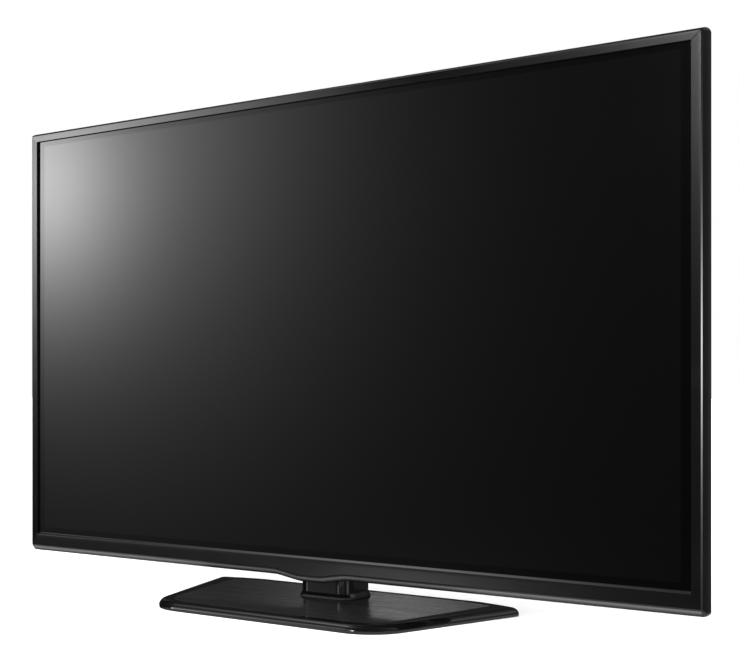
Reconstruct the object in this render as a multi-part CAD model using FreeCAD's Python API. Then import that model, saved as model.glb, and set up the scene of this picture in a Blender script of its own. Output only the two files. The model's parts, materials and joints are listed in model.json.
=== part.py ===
import FreeCAD, Part
import math
import os

os.makedirs("parts", exist_ok=True)

V = FreeCAD.Vector

# All sizes are in millimetres. X runs to the viewer's right, the screen faces -Y and Z is up.
# The origin is the centre of the base, on the surface that the feet stand on.

# Outer size of the set, its rim included, and its place: its front stands ahead of the neck's axis
set_width = 1179.0
set_height = 701.0
set_depth = 56.0
set_bottom_z = 45.5
set_lead = 67.5
face_corner_radius = 1.5
rim_corner_radius = 6.0
least_corner_radius = 1.0

# Chin, the shallow wave at the middle of the lower edge
chin_drop = 7.0
chin_flat_half = 20.0
chin_reach_half = 62.0
chin_radius = 100.0

# Front bezel and the light strip under it
bezel_side = 13.8
bezel_top = 12.0
bezel_bottom = 31.5
bezel_wall = 2.5
bezel_plate = 4.0
skirt_depth = 29.0
edge_chamfer = 1.7
strip_height = 10.0
strip_depth = 9.0
rim_bulge_side = 4.7
rim_bulge_top = 4.0
rim_depth = 15.0
lip_bevel = 2.8
lip_bevel_side = 1.0
opening_radius = 1.5

# Screen stack, from the front
filter_overlap = 6.0
filter_thickness = 2.5
gasket_thickness = 3.0
gasket_width = 7.0
panel_gap = 2.0
panel_glass = 2.8
panel_step = 6.0
thermal_thickness = 1.5
chassis_thickness = 2.0
chassis_flange = 7.0
clamp_width = 9.0
clamp_thickness = 1.5

# Stiffening channels behind the chassis
rib_width = 22.0
rib_height = 12.0
rib_wall = 1.6
rib_inset = 222.0
rib_clearance = 7.0

# Circuit boards
standoff_height = 6.0
standoff_radius = 3.0
standoff_inset = 6.0
board_thickness = 1.6

# Rear cover
cover_wall = 2.0
cover_edge_inset = 1.5
shoulder_run = 9.0
shoulder_inset = 4.0
slope_drop = 8.0
slope_inset = 22.0
back_inset = 60.0
cover_corner_radius = 9.0
cover_corner_growth = 0.33
vent_slot_width = 4.0
vent_slot_height = 26.0
vent_pitch = 11.0
vent_row_gap = 12.0
vent_half_span = 420.0
vent_edge_gap = 14.0
low_vent_half_gap = 110.0
sound_slot_width = 3.0
sound_slot_pitch = 7.0
sound_slot_count = 24

# Cover screws and the pillars that take them
cover_screw_radius = 1.8
screw_head_radius = 4.0
screw_head_height = 1.6
screw_grip = 10.0
pillar_radius = 5.0
pillar_bore_gap = 0.2
pillar_bore_spare = 2.0
pillar_edge = 22.0
pillar_columns = 5

# Wall mount: four threaded inserts on a square
wall_mount_pitch = 400.0
insert_bore_radius = 3.0
insert_radius = 7.0
insert_bore_depth = 22.0
insert_gap = 0.3

# Terminal recess
terminal_inset = 196.0
terminal_width = 170.0
terminal_rise = 170.5
terminal_height = 224.0
terminal_recess = 18.0
terminal_lip = 5.0
terminal_plate = 1.5
socket_gap = 0.4
socket_stand = 1.0

# Mains inlet
inlet_inset = 284.0
inlet_rise = 124.5
inlet_pocket_width = 64.0
inlet_pocket_height = 48.0
inlet_recess = 14.0
inlet_width = 30.0
inlet_height = 22.0
inlet_depth = 18.0
inlet_wall = 2.5
inlet_flange = 2.0
inlet_flange_margin = 8.0
inlet_floor = 3.0
blade_width = 4.0
blade_thickness = 2.0
blade_length = 12.0
blade_pitch = 14.0
earth_offset = 4.5

# Loudspeakers
speaker_inset = 194.0
speaker_width = 170.0
speaker_height = 40.0
speaker_depth = 12.5
speaker_wall = 2.0
speaker_bottom_gap = 22.0
cone_length = 70.0
cone_width = 8.0
cone_depth = 5.0
cone_corner_radius = 2.6
cone_taper = 1.6
foot_pad = 8.0

# Stand base: a trapezoid, wider at the back, with rounded corners
base_depth = 266.4
base_front_half = 194.6
base_back_half = 281.5
base_front_radius = 88.0
base_tip_radius = 14.0
base_tip_forward = 8.0
base_shoulder_half = 170.0
base_shoulder_radius = 480.0
base_height = 12.0
base_skirt_bottom = 1.5
base_skirt_top = 4.6
base_border = 20.0
base_border_step = 3.0
base_border_step_rise = 3.55
base_border_mid = 9.0
base_border_mid_rise = 6.15
base_wall = 2.2
base_floor = 1.5
inset_thickness = 1.5
base_plate_thickness = 3.0
base_plate_margin = 10.0
foot_radius = 9.0
foot_margin = 34.0
base_screw_radius = 2.0
base_screw_head = 4.0
base_screw_head_height = 1.8
base_screw_margin = 61.0

# Swivel bearing
swivel_shaft_radius = 12.0
swivel_running_gap = 0.05
swivel_bush_wall = 4.0
swivel_disc_radius = 35.0
swivel_disc_thickness = 2.5
hub_gap = 1.5
turn_gap = 0.4
washer_gap = 0.1
wave_washer_thickness = 0.9
wave_washer_radius = 22.0
retainer_thickness = 1.6
retainer_radius = 19.0
core_foot_radius = 30.0
core_foot_thickness = 3.0

# Neck
neck_back_gap = 79.2
neck_width = 90.0
neck_depth = 68.0
neck_corner_radius = 20.0
neck_wall = 3.0
neck_rise = 94.0
neck_flare = 3.0
neck_flare_height = 13.0
collar_step = 3.5
collar_height = 3.6
neck_top_depth = 30.0
neck_slope_start = 6.0
neck_slope_wall = 4.2
core_slope_gap = 0.6
core_width = 56.0
core_depth = 40.0
core_wall = 3.0
core_pad_margin = 8.0
pocket_side_gap = 10.0
pocket_top_gap = 8.0
neck_face_gap = 0.5
bracket_thickness = 2.0
neck_screw_radius = 2.5
neck_screw_head = 5.0
neck_screw_head_height = 3.0
neck_screw_pitch_x = 30.0
neck_screw_pitch_z = 46.0
neck_screw_low = 20.0

# Joystick under the chin
stick_depth = 17.5
stick_hole_radius = 8.0
stick_cap_radius = 5.8
stick_cap_height = 3.0
stick_cap_raise = 0.9
stick_cap_edge = 0.75
stick_stem_radius = 1.5
stick_stem_gap = 0.6
stick_pivot_rise = 11.5
stick_ball_radius = 3.0
stick_slider_radius = 7.0
stick_slider_height = 2.6
stick_press = 0.8
stick_gap = 0.3
stick_wall = 1.8
stick_pin_radius = 0.8
stick_pin_gap = 0.05
stick_pin_clearance = 0.2
stick_lug_gap = 0.6
stick_lug_width = 1.2
stick_lug_rim = 0.8

# Remote sensor and standby light, flush in the lower bezel
sensor_inset = 98.0
sensor_width = 17.0
sensor_height = 5.0
light_radius = 1.4
light_offset = 17.0

# Circuit boards: insets from the set's sides, rises above its lower edge, widths and heights
scan_inset, scan_width, scan_rise, scan_top_gap = 28.0, 26.0, 82.5, 92.5
side_board_inset, side_board_width = 92.0, 110.0
y_board_rise, y_board_height = 162.5, 390.0
z_board_rise, z_board_height = 192.5, 340.0
main_left_gap, main_right_lap, main_lap = 46.0, 4.0, 6.0
power_gap, power_right, power_rise, power_pillar_gap = 39.0, 175.0, 272.5, 14.5
control_left, control_width, control_rise, control_height = -150.0, 210.0, 142.5, 100.0
address_inner, address_inset, address_rise, address_height = 84.0, 54.0, 48.5, 32.0

# Parts on the boards
sink_length = 150.0
sink_width = 60.0
sink_base = 3.0
sink_fin = 1.8
sink_fin_height = 16.0
sink_fin_count = 7
y_sink_spread = 90.0
z_sink_rise = 82.0
can_radius = 11.0
can_height = 22.0
can_pitch = 27.0
power_can_count = 6
power_can_rise = 54.0
z_can_count = 3
z_can_drop = 75.0
coil_width = 42.0
coil_height = 36.0
coil_depth = 20.0
coil_pitch = 70.0
coil_count = 4
coil_groove = 4.0
chip_size = 26.0
chip_height = 3.0
ribbon_width = 34.0
ribbon_thickness = 0.4
ribbon_count = 5
bus_height = 14.0

# Sockets: face width, face height and mouth sizes
hdmi_width, hdmi_height, hdmi_wall, hdmi_count, hdmi_pitch = 16.0, 7.0, 0.8, 3, 24.0
hdmi_tongue_width, hdmi_tongue_height = 11.0, 1.2
usb_width, usb_height, usb_wall = 14.5, 7.4, 0.8
usb_tongue_width, usb_tongue_height = 10.5, 1.8
jack_radius, jack_bore, jack_length, jack_count, jack_pitch = 4.2, 1.7, 7.0, 5, 17.0
jack_block = 12.0
aerial_radius, aerial_bore, aerial_length = 5.0, 1.6, 10.0
optical_size, optical_mouth = 10.5, 6.0
network_width, network_height, network_mouth_width, network_drop = 16.5, 14.5, 11.8, 3.6
socket_floor = 2.0
left_column_inset, right_column_inset, column_margin = 66.0, 38.0, 30.0

# Places that follow from the sizes above
body_half = set_width / 2 - rim_bulge_side
body_top_z = set_bottom_z + set_height - rim_bulge_top
set_middle_z = set_bottom_z + set_height / 2
base_half_depth = base_depth / 2
neck_y = base_half_depth - neck_back_gap
set_front_y = neck_y - set_lead
neck_front_y = neck_y - neck_depth / 2
neck_top_z = set_bottom_z + neck_rise
opening_low_z = set_bottom_z + bezel_bottom
opening_high_z = body_top_z - bezel_top
opening_half = body_half - bezel_side
filter_depth = bezel_plate
gasket_depth = filter_depth + filter_thickness
panel_front_depth = gasket_depth + gasket_thickness
panel_rear_depth = panel_front_depth + panel_glass
thermal_depth = panel_rear_depth + panel_glass
chassis_depth = thermal_depth + thermal_thickness
chassis_back = chassis_depth + chassis_thickness
filter_half = opening_half + filter_overlap
filter_low_z = opening_low_z - filter_overlap
filter_high_z = opening_high_z + filter_overlap
clamp_lap = clamp_width - clamp_thickness
panel_half = filter_half - clamp_lap - panel_gap
panel_low_z = filter_low_z + clamp_lap + panel_gap
panel_high_z = filter_high_z - clamp_lap - panel_gap
board_depth = chassis_back + standoff_height
board_back = board_depth + board_thickness
shoulder_depth = skirt_depth + shoulder_run
slope_depth = set_depth - slope_drop
terminal_floor_depth = set_depth - terminal_recess
inlet_floor_depth = set_depth - inlet_recess
pillar_high_z = (
    body_top_z - back_inset - 2 * vent_slot_height - vent_row_gap - vent_edge_gap - pillar_edge)
pillar_low_z = set_bottom_z + back_inset + vent_slot_height + pillar_edge
terminal_left = terminal_inset - body_half
terminal_right = terminal_left + terminal_width
terminal_low = set_bottom_z + terminal_rise
terminal_high = terminal_low + terminal_height
left_column_x = terminal_left + left_column_inset
right_column_x = terminal_right - right_column_inset
column_top_z = terminal_high - column_margin
column_low_z = terminal_low + column_margin
inlet_x = body_half - inlet_inset
inlet_z = set_bottom_z + inlet_rise
speaker_x = body_half - speaker_inset
rib_x = body_half - rib_inset
sensor_x = body_half - sensor_inset

# Board outlines that follow from the sizes above
scan_left = scan_inset - body_half
scan_right = scan_left + scan_width
scan_low = set_bottom_z + scan_rise
scan_high = body_top_z - scan_top_gap
y_left = side_board_inset - body_half
y_right = y_left + side_board_width
y_low = set_bottom_z + y_board_rise
y_high = y_low + y_board_height
z_right = body_half - side_board_inset
z_left = z_right - side_board_width
z_low = set_bottom_z + z_board_rise
z_high = z_low + z_board_height
main_left = terminal_left + main_left_gap
main_right = terminal_right + main_right_lap
main_low = terminal_low - main_lap
main_high = terminal_high + main_lap
power_left = main_right + power_gap
power_low = set_bottom_z + power_rise
power_high = pillar_high_z - power_pillar_gap
control_right = control_left + control_width
control_low = set_bottom_z + control_rise
control_high = control_low + control_height
address_outer = body_half - address_inset
address_low = set_bottom_z + address_rise
address_high = address_low + address_height


def y_at(depth):
    """Y of a plane at a depth behind the front of the set."""
    return set_front_y + depth


def block(x0, x1, y0, y1, z0, z1):
    """A box between two corners."""
    return Part.makeBox(x1 - x0, y1 - y0, z1 - z0, V(x0, y0, z0))


def slab(x0, x1, z0, z1, depth, thickness):
    """A box given by its outline seen from the front, its depth in the set and its thickness."""
    return block(x0, x1, y_at(depth), y_at(depth + thickness), z0, z1)


def rod_x(y, z, radius, x0, x1):
    """A cylinder along X."""
    return Part.makeCylinder(radius, x1 - x0, V(x0, y, z), V(1, 0, 0))


def rod_y(x, z, radius, y0, y1):
    """A cylinder along Y."""
    return Part.makeCylinder(radius, y1 - y0, V(x, y0, z), V(0, 1, 0))


def rod_z(x, y, radius, z0, z1):
    """A cylinder along Z."""
    return Part.makeCylinder(radius, z1 - z0, V(x, y, z0), V(0, 0, 1))


def join(shapes):
    """One solid from touching or overlapping shapes."""
    first, rest = shapes[0], shapes[1:]
    return first.fuse(rest).removeSplitter() if rest else first


def carve(shape, tools):
    """A shape with every tool taken out of it."""
    return shape.cut(tools) if tools else shape


def group(solids):
    """Separate solids that share one node."""
    return Part.makeCompound(solids)


def corner_arc(before, corner, after):
    """Start, middle and end of the arc that rounds one corner; all three match where it is sharp."""
    x, y, radius = corner
    if radius <= 0:
        return (x, y), (x, y), (x, y)
    ax, ay = before[0] - x, before[1] - y
    bx, by = after[0] - x, after[1] - y
    a_length, b_length = math.hypot(ax, ay), math.hypot(bx, by)
    ax, ay, bx, by = ax / a_length, ay / a_length, bx / b_length, by / b_length
    half = math.acos(max(-1.0, min(1.0, ax * bx + ay * by))) / 2
    run = radius / math.tan(half)
    mx, my = ax + bx, ay + by
    m_length = math.hypot(mx, my)
    reach = radius / math.sin(half) - radius
    middle = (x + mx / m_length * reach, y + my / m_length * reach)
    return (x + ax * run, y + ay * run), middle, (x + bx * run, y + by * run)


def outline_wire(corners, place):
    """A closed wire through corners (u, v, radius), put in space by place(u, v)."""
    count = len(corners)
    arcs = []
    for index in range(count):
        arcs.append(corner_arc(corners[index - 1], corners[index], corners[(index + 1) % count]))
    edges = []
    for index, (start, middle, end) in enumerate(arcs):
        if start != end:
            edges.append(Part.Arc(place(*start), place(*middle), place(*end)).toShape())
        following = arcs[(index + 1) % count][0]
        edges.append(Part.makeLine(place(*end), place(*following)))
    return Part.Wire(edges)


def upright_wire(corners, y):
    """An outline seen from the front, at one Y."""
    return outline_wire(corners, lambda u, v: V(u, y, v))


def flat_wire(corners, z):
    """An outline seen from above, at one Z."""
    return outline_wire(corners, lambda u, v: V(u, v, z))


def upright_prism(corners, depth, thickness):
    """A plate with a given outline seen from the front."""
    return Part.Face(upright_wire(corners, y_at(depth))).extrude(V(0, thickness, 0))


def flat_prism(corners, z0, z1):
    """A plate with a given outline seen from above."""
    return Part.Face(flat_wire(corners, z0)).extrude(V(0, 0, z1 - z0))


def skin_through(wires):
    """A solid with straight walls through a row of like outlines."""
    return Part.makeLoft(wires, True, True)


def rectangle(x0, x1, y0, y1, radius):
    """Corners of a rounded rectangle."""
    return [(x0, y0, radius), (x1, y0, radius), (x1, y1, radius), (x0, y1, radius)]


def shrink(corners, distance):
    """A convex outline moved inwards by one distance all round."""
    count = len(corners)
    result = []
    for index in range(count):
        x, y, radius = corners[index]
        ax, ay = corners[index - 1][0] - x, corners[index - 1][1] - y
        bx, by = corners[(index + 1) % count][0] - x, corners[(index + 1) % count][1] - y
        a_length, b_length = math.hypot(ax, ay), math.hypot(bx, by)
        ax, ay, bx, by = ax / a_length, ay / a_length, bx / b_length, by / b_length
        half = math.acos(max(-1.0, min(1.0, ax * bx + ay * by))) / 2
        mx, my = ax + bx, ay + by
        m_length = math.hypot(mx, my)
        reach = distance / math.sin(half)
        rounded = max(radius - distance, least_corner_radius) if radius > 0 else 0
        result.append((x + mx / m_length * reach, y + my / m_length * reach, rounded))
    return result


def even(first, last, count):
    """Evenly spaced values from first to last."""
    return [first + (last - first) * index / (count - 1) for index in range(count)]


def centred(pitch, count):
    """Evenly spaced values about zero."""
    return [pitch * (index - (count - 1) / 2) for index in range(count)]


def front_corners(side_inset, top_inset, bottom_inset, radius):
    """Outline of the set from the front, moved inwards, with the chin in its lower edge."""
    half = body_half - side_inset
    low = set_bottom_z + bottom_inset
    high = body_top_z - top_inset
    chin = low - chin_drop
    return [
        (-half, low, radius),
        (-chin_reach_half, low, chin_radius),
        (-chin_flat_half, chin, chin_radius),
        (chin_flat_half, chin, chin_radius),
        (chin_reach_half, low, chin_radius),
        (half, low, radius),
        (half, high, radius),
        (-half, high, radius),
    ]


def bezel_block():
    """The full front block: edge chamfers, a rim that swells behind the face and the sloped lower edge."""
    chamfered = strip_height * (1 - edge_chamfer / strip_depth)
    swelling = (strip_depth - edge_chamfer) / (rim_depth - edge_chamfer)
    swelling_radius = face_corner_radius + (rim_corner_radius - face_corner_radius) * swelling
    return skin_through([
        upright_wire(front_corners(edge_chamfer, edge_chamfer, strip_height, face_corner_radius), y_at(0)),
        upright_wire(front_corners(0, 0, chamfered, face_corner_radius), y_at(edge_chamfer)),
        upright_wire(front_corners(
            -rim_bulge_side * swelling, -rim_bulge_top * swelling, 0, swelling_radius), y_at(strip_depth)),
        upright_wire(front_corners(-rim_bulge_side, -rim_bulge_top, 0, rim_corner_radius), y_at(rim_depth)),
        upright_wire(front_corners(0, 0, 0, rim_corner_radius), y_at(skirt_depth)),
    ])


def strip_region():
    """The space along the lower edge that the light strip fills, from one side edge of the face to the other."""
    reach = body_half - edge_chamfer
    level = set_bottom_z + strip_height
    chin = level - chin_drop
    below = set_bottom_z - chin_drop - bezel_wall
    corners = [
        (-reach, below, 0),
        (reach, below, 0),
        (reach, level, 0),
        (chin_reach_half, level, chin_radius),
        (chin_flat_half, chin, chin_radius),
        (-chin_flat_half, chin, chin_radius),
        (-chin_reach_half, level, chin_radius),
        (-reach, level, 0),
    ]
    return upright_prism(corners, -bezel_wall, bezel_wall + strip_depth)


def opening_tool():
    """The screen opening, wider at the front by its bevels."""
    back = rectangle(-opening_half, opening_half, opening_low_z, opening_high_z, opening_radius)
    front = rectangle(
        -opening_half - lip_bevel_side, opening_half + lip_bevel_side,
        opening_low_z - lip_bevel, opening_high_z + lip_bevel_side, opening_radius)
    bevel = skin_through([upright_wire(front, y_at(0)), upright_wire(back, y_at(lip_bevel))])
    return [bevel, upright_prism(back, 0, bezel_plate)]


def stick_axis_y():
    """Y of the joystick's axis."""
    return y_at(stick_depth)


def chin_bottom_z():
    """Z of the lowest point of the set."""
    return set_bottom_z - chin_drop


def sensor_z():
    """Height of the remote sensor, midway up the flat face of the lower bezel."""
    return set_bottom_z + (strip_height + bezel_bottom - lip_bevel) / 2


def front_parts():
    """Bezel, light strip, sensor window and standby light."""
    whole = bezel_block()
    region = strip_region()
    strip = whole.common(region)
    low_wall = strip_height + bezel_wall
    cavity_corners = front_corners(bezel_wall, bezel_wall, low_wall, face_corner_radius)
    cavity = upright_prism(cavity_corners, bezel_plate, skirt_depth - bezel_plate)
    window = slab(
        sensor_x - sensor_width / 2, sensor_x + sensor_width / 2,
        sensor_z() - sensor_height / 2, sensor_z() + sensor_height / 2, 0, bezel_plate)
    light = rod_y(sensor_x + light_offset, sensor_z(), light_radius, y_at(0), y_at(bezel_plate))
    hole = rod_z(0, stick_axis_y(), stick_hole_radius, chin_bottom_z() - bezel_wall, set_bottom_z + low_wall)
    bezel = carve(whole, [region, cavity, window, light, hole] + opening_tool())
    return {
        "front_bezel": bezel,
        "lower_strip": strip,
        "sensor_window": window,
        "standby_light": light,
    }


def screen_parts():
    """Filter glass, its gasket and clamps, the panel's two glass sheets, the thermal sheet and chassis."""
    filter_glass = slab(
        -filter_half, filter_half, filter_low_z, filter_high_z, filter_depth, filter_thickness)
    ring = slab(-filter_half, filter_half, filter_low_z, filter_high_z, gasket_depth, gasket_thickness)
    ring_hole = slab(
        -filter_half + gasket_width, filter_half - gasket_width, filter_low_z + gasket_width,
        filter_high_z - gasket_width, gasket_depth, gasket_thickness)
    front = slab(-panel_half, panel_half, panel_low_z, panel_high_z, panel_front_depth, panel_glass)
    rear = slab(
        -panel_half + panel_step, panel_half - panel_step, panel_low_z - panel_step,
        panel_high_z - panel_step, panel_rear_depth, panel_glass)
    sheet = slab(
        -panel_half + 2 * panel_step, panel_half - 2 * panel_step, panel_low_z,
        panel_high_z - 2 * panel_step, thermal_depth, thermal_thickness)
    plate = slab(-panel_half, panel_half, panel_low_z, panel_high_z, chassis_depth, chassis_thickness)
    flanges = []
    for low in (panel_low_z, panel_high_z - chassis_thickness):
        flanges.append(slab(
            -panel_half, panel_half, low, low + chassis_thickness, chassis_back, chassis_flange))
    return {
        "filter_glass": filter_glass,
        "filter_gasket": ring.cut(ring_hole),
        "panel_front_glass": front,
        "panel_rear_glass": rear,
        "thermal_sheet": sheet,
        "chassis_plate": join([plate] + flanges),
        "filter_clamps": filter_clamps(),
    }


def angle_strip(x0, x1, z0, z1, leg_x0, leg_x1, leg_z0, leg_z1):
    """A bent strip: a flat lap against the gasket and a leg against the bezel's wall."""
    back = gasket_depth + gasket_thickness
    lap = slab(x0, x1, z0, z1, back, clamp_thickness)
    leg = slab(leg_x0, leg_x1, leg_z0, leg_z1, back, clamp_width)
    return join([lap, leg])


def filter_clamps():
    """Bent strips that press the filter glass and gasket against the bezel, clear of the joystick."""
    wall_half = body_half - bezel_wall
    wall_high = body_top_z - bezel_wall
    wall_low = set_bottom_z + strip_height + bezel_wall
    low, high = filter_low_z + clamp_lap, filter_high_z - clamp_lap
    inner = filter_half - clamp_lap
    run = filter_half - rim_corner_radius
    near = stick_hole_radius + stick_wall + clamp_thickness
    thick = clamp_thickness
    clamps = [
        angle_strip(-wall_half, -inner, low, high, -wall_half, -wall_half + thick, low, high),
        angle_strip(inner, wall_half, low, high, wall_half - thick, wall_half, low, high),
        angle_strip(-run, run, high, wall_high, -run, run, wall_high - thick, wall_high),
        angle_strip(-run, -near, wall_low, low, -run, -near, wall_low, wall_low + thick),
        angle_strip(near, run, wall_low, low, near, run, wall_low, wall_low + thick),
    ]
    return group(clamps)


def chassis_ribs():
    """Two upright channels that stiffen the chassis."""
    low = address_high + rib_clearance
    high = panel_high_z - rib_clearance
    ribs = []
    for side in (-1, 1):
        x = side * rib_x
        outer = slab(x - rib_width / 2, x + rib_width / 2, low, high, chassis_back, rib_height)
        inner = slab(
            x - rib_width / 2 + rib_wall, x + rib_width / 2 - rib_wall, low, high,
            chassis_back, rib_height - rib_wall)
        ribs.append(outer.cut(inner))
    return group(ribs)


def board(x0, x1, z0, z1):
    """A circuit board on its four standoffs: the board and the list of standoffs."""
    sheet = slab(x0, x1, z0, z1, board_depth, board_thickness)
    posts = []
    for x in (x0 + standoff_inset, x1 - standoff_inset):
        for z in (z0 + standoff_inset, z1 - standoff_inset):
            posts.append(rod_y(x, z, standoff_radius, y_at(chassis_back), y_at(board_depth)))
    return sheet, posts


def heat_sink(x, z, upright):
    """A finned heat sink standing on a board, its fins along Z or along X."""
    across, along = (sink_width, sink_length) if upright else (sink_length, sink_width)
    pieces = [slab(x - across / 2, x + across / 2, z - along / 2, z + along / 2, board_back, sink_base)]
    for offset in centred((sink_width - sink_fin) / (sink_fin_count - 1), sink_fin_count):
        if upright:
            fin = slab(
                x + offset - sink_fin / 2, x + offset + sink_fin / 2, z - along / 2, z + along / 2,
                board_back + sink_base, sink_fin_height)
        else:
            fin = slab(
                x - across / 2, x + across / 2, z + offset - sink_fin / 2, z + offset + sink_fin / 2,
                board_back + sink_base, sink_fin_height)
        pieces.append(fin)
    return join(pieces)


def board_parts():
    """Circuit boards, their standoffs, heat sinks, capacitors, coils, chips and ribbon cables."""
    parts = {}
    posts = []
    single = {
        "scan_board": (scan_left, scan_right, scan_low, scan_high),
        "y_sustain_board": (y_left, y_right, y_low, y_high),
        "z_sustain_board": (z_left, z_right, z_low, z_high),
        "power_board": (power_left, power_right, power_low, power_high),
        "main_board": (main_left, main_right, main_low, main_high),
        "control_board": (control_left, control_right, control_low, control_high),
    }
    for name, edges in single.items():
        parts[name], feet = board(*edges)
        posts += feet
    left, left_posts = board(-address_outer, -address_inner, address_low, address_high)
    right, right_posts = board(address_inner, address_outer, address_low, address_high)
    parts["address_boards"] = group([left, right])
    posts += left_posts + right_posts
    parts["board_standoffs"] = group(posts)
    y_middle, z_middle = (y_left + y_right) / 2, (z_left + z_right) / 2
    y_centre, z_centre = (y_low + y_high) / 2, (z_low + z_high) / 2
    parts["heat_sinks"] = group([
        heat_sink(y_middle, y_centre + y_sink_spread, True),
        heat_sink(y_middle, y_centre - y_sink_spread, True),
        heat_sink(z_middle, z_centre + z_sink_rise, True),
        heat_sink((power_left + power_right) / 2, power_high - sink_width, False),
    ])
    parts["capacitors"] = group(capacitors(z_middle, z_centre))
    parts["coils"] = group(coils())
    parts["chips"] = group(chips())
    parts["ribbon_cables"] = group(ribbons() + [bus_cable()])
    return parts


def capacitors(z_middle, z_centre):
    """Round capacitors in rows on the power and sustain boards."""
    cans = []
    row_z = power_low + power_can_rise
    power_middle = (power_left + power_right) / 2
    low, high = y_at(board_back), y_at(board_back + can_height)
    for x in centred(can_pitch, power_can_count):
        cans.append(rod_y(power_middle + x, row_z, can_radius, low, high))
    for x in centred(can_pitch, z_can_count):
        cans.append(rod_y(z_middle + x, z_centre - z_can_drop, can_radius, low, high))
    return cans


def coils():
    """Transformers and chokes on the power board."""
    row_z = (power_low + power_high) / 2 + can_radius
    solids = []
    for offset in centred(coil_pitch, coil_count):
        x = (power_left + power_right) / 2 + offset
        body = slab(
            x - coil_width / 2, x + coil_width / 2, row_z - coil_height / 2, row_z + coil_height / 2,
            board_back, coil_depth)
        groove = slab(
            x - coil_width / 2, x + coil_width / 2, row_z - coil_height / 2,
            row_z - coil_height / 2 + coil_groove, board_back + coil_groove, coil_depth - 2 * coil_groove)
        solids.append(body.cut(groove))
    return solids


def chips():
    """Processor packages on the main and control boards."""
    solids = []
    for z in even(main_low + 2 * chip_size, main_high - 2 * chip_size, 2):
        x = (left_column_x + right_column_x) / 2
        solids.append(slab(
            x - chip_size / 2, x + chip_size / 2, z - chip_size / 2, z + chip_size / 2,
            board_back, chip_height))
    for x in even(control_left + 2 * chip_size, control_right - 2 * chip_size, 2):
        z = (control_low + control_high) / 2
        solids.append(slab(
            x - chip_size / 2, x + chip_size / 2, z - chip_size / 2, z + chip_size / 2,
            board_back, chip_height))
    return solids


def ribbons():
    """Flexible strips that join the address boards to the lower edge of the rear glass."""
    low = panel_low_z - panel_step - ribbon_thickness
    strips = []
    for side in (-1, 1):
        near, far = address_inner + ribbon_width, address_outer - ribbon_width
        for x in even(near, far, ribbon_count):
            left, right = side * x - ribbon_width / 2, side * x + ribbon_width / 2
            upright = slab(left, right, low, address_low + ribbon_thickness, board_back, ribbon_thickness)
            flat = slab(
                left, right, low, low + ribbon_thickness,
                panel_rear_depth, board_back + ribbon_thickness - panel_rear_depth)
            strips.append(join([upright, flat]))
    return strips


def bus_cable():
    """Flat data cable from the main board to the control board, arched over the gap."""
    z = control_high - bus_height
    left, right = main_right - bus_height, control_left + bus_height
    low, high = z - bus_height / 2, z + bus_height / 2
    run = slab(left, right, low, high, board_back + chip_height, ribbon_thickness)
    ends = []
    for x in (left, right - ribbon_thickness):
        ends.append(slab(x, x + ribbon_thickness, low, high, board_back, chip_height))
    return join([run] + ends)


def cover_wire(inset, depth):
    """Outline of the rear cover at one depth."""
    half = body_half - inset
    radius = cover_corner_radius + inset * cover_corner_growth
    corners = rectangle(-half, half, set_bottom_z + inset, body_top_z - inset, radius)
    return upright_wire(corners, y_at(depth))


def cover_skin(wall):
    """The cover's outer form, or with a wall thickness its hollow."""
    shoulder_slope = (shoulder_inset - cover_edge_inset) / shoulder_run
    return skin_through([
        cover_wire(cover_edge_inset + wall, skirt_depth),
        cover_wire(shoulder_inset + wall, shoulder_depth - wall * shoulder_slope),
        cover_wire(slope_inset + wall, slope_depth - wall),
        cover_wire(back_inset + wall, set_depth - wall),
    ])


def neck_pocket(wall):
    """The pocket in the rear cover that the neck stands in, grown by a wall thickness."""
    half = neck_width / 2 + pocket_side_gap + wall
    top = neck_top_z + pocket_top_gap + wall
    floor_y = neck_front_y - neck_face_gap - wall
    return block(-half, half, floor_y, y_at(set_depth) + cover_wall, set_bottom_z - cover_wall, top)


def terminal_pocket(wall):
    """The recess for the sockets, grown by a wall thickness."""
    return block(
        terminal_left - wall, terminal_right + wall, y_at(terminal_floor_depth) - wall,
        y_at(set_depth) + cover_wall, terminal_low - wall, terminal_high + wall)


def inlet_pocket(wall):
    """The recess for the mains inlet, grown by a wall thickness."""
    return block(
        inlet_x - inlet_pocket_width / 2 - wall, inlet_x + inlet_pocket_width / 2 + wall,
        y_at(inlet_floor_depth) - wall, y_at(set_depth) + cover_wall,
        inlet_z - inlet_pocket_height / 2 - wall, inlet_z + inlet_pocket_height / 2 + wall)


def vent_slots():
    """Upright ventilation slots: two rows along the top and one along the bottom."""
    y0, y1 = y_at(set_depth - 2 * cover_wall), y_at(set_depth + cover_wall)
    high = body_top_z - back_inset - vent_edge_gap
    low = set_bottom_z + back_inset + vent_edge_gap
    count = int(2 * vent_half_span / vent_pitch)
    slots = []
    for x in centred(vent_pitch, count):
        left, right = x - vent_slot_width / 2, x + vent_slot_width / 2
        slots.append(block(left, right, y0, y1, high - vent_slot_height, high))
        second = high - vent_slot_height - vent_row_gap
        slots.append(block(left, right, y0, y1, second - vent_slot_height, second))
        if low_vent_half_gap < abs(x):
            slots.append(block(left, right, y0, y1, low, low + vent_slot_height))
    return slots


def sound_slots():
    """Slots in the cover's lower wall, under each loudspeaker."""
    y0 = y_at(skirt_depth + sound_slot_width / 2)
    y1 = y_at(shoulder_depth - sound_slot_width / 2)
    slots = []
    for side in (-1, 1):
        for offset in centred(sound_slot_pitch, sound_slot_count):
            x = side * speaker_x + offset
            slots.append(block(
                x - sound_slot_width / 2, x + sound_slot_width / 2, y0, y1,
                set_bottom_z, set_bottom_z + slope_inset / 2))
    return slots


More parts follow.
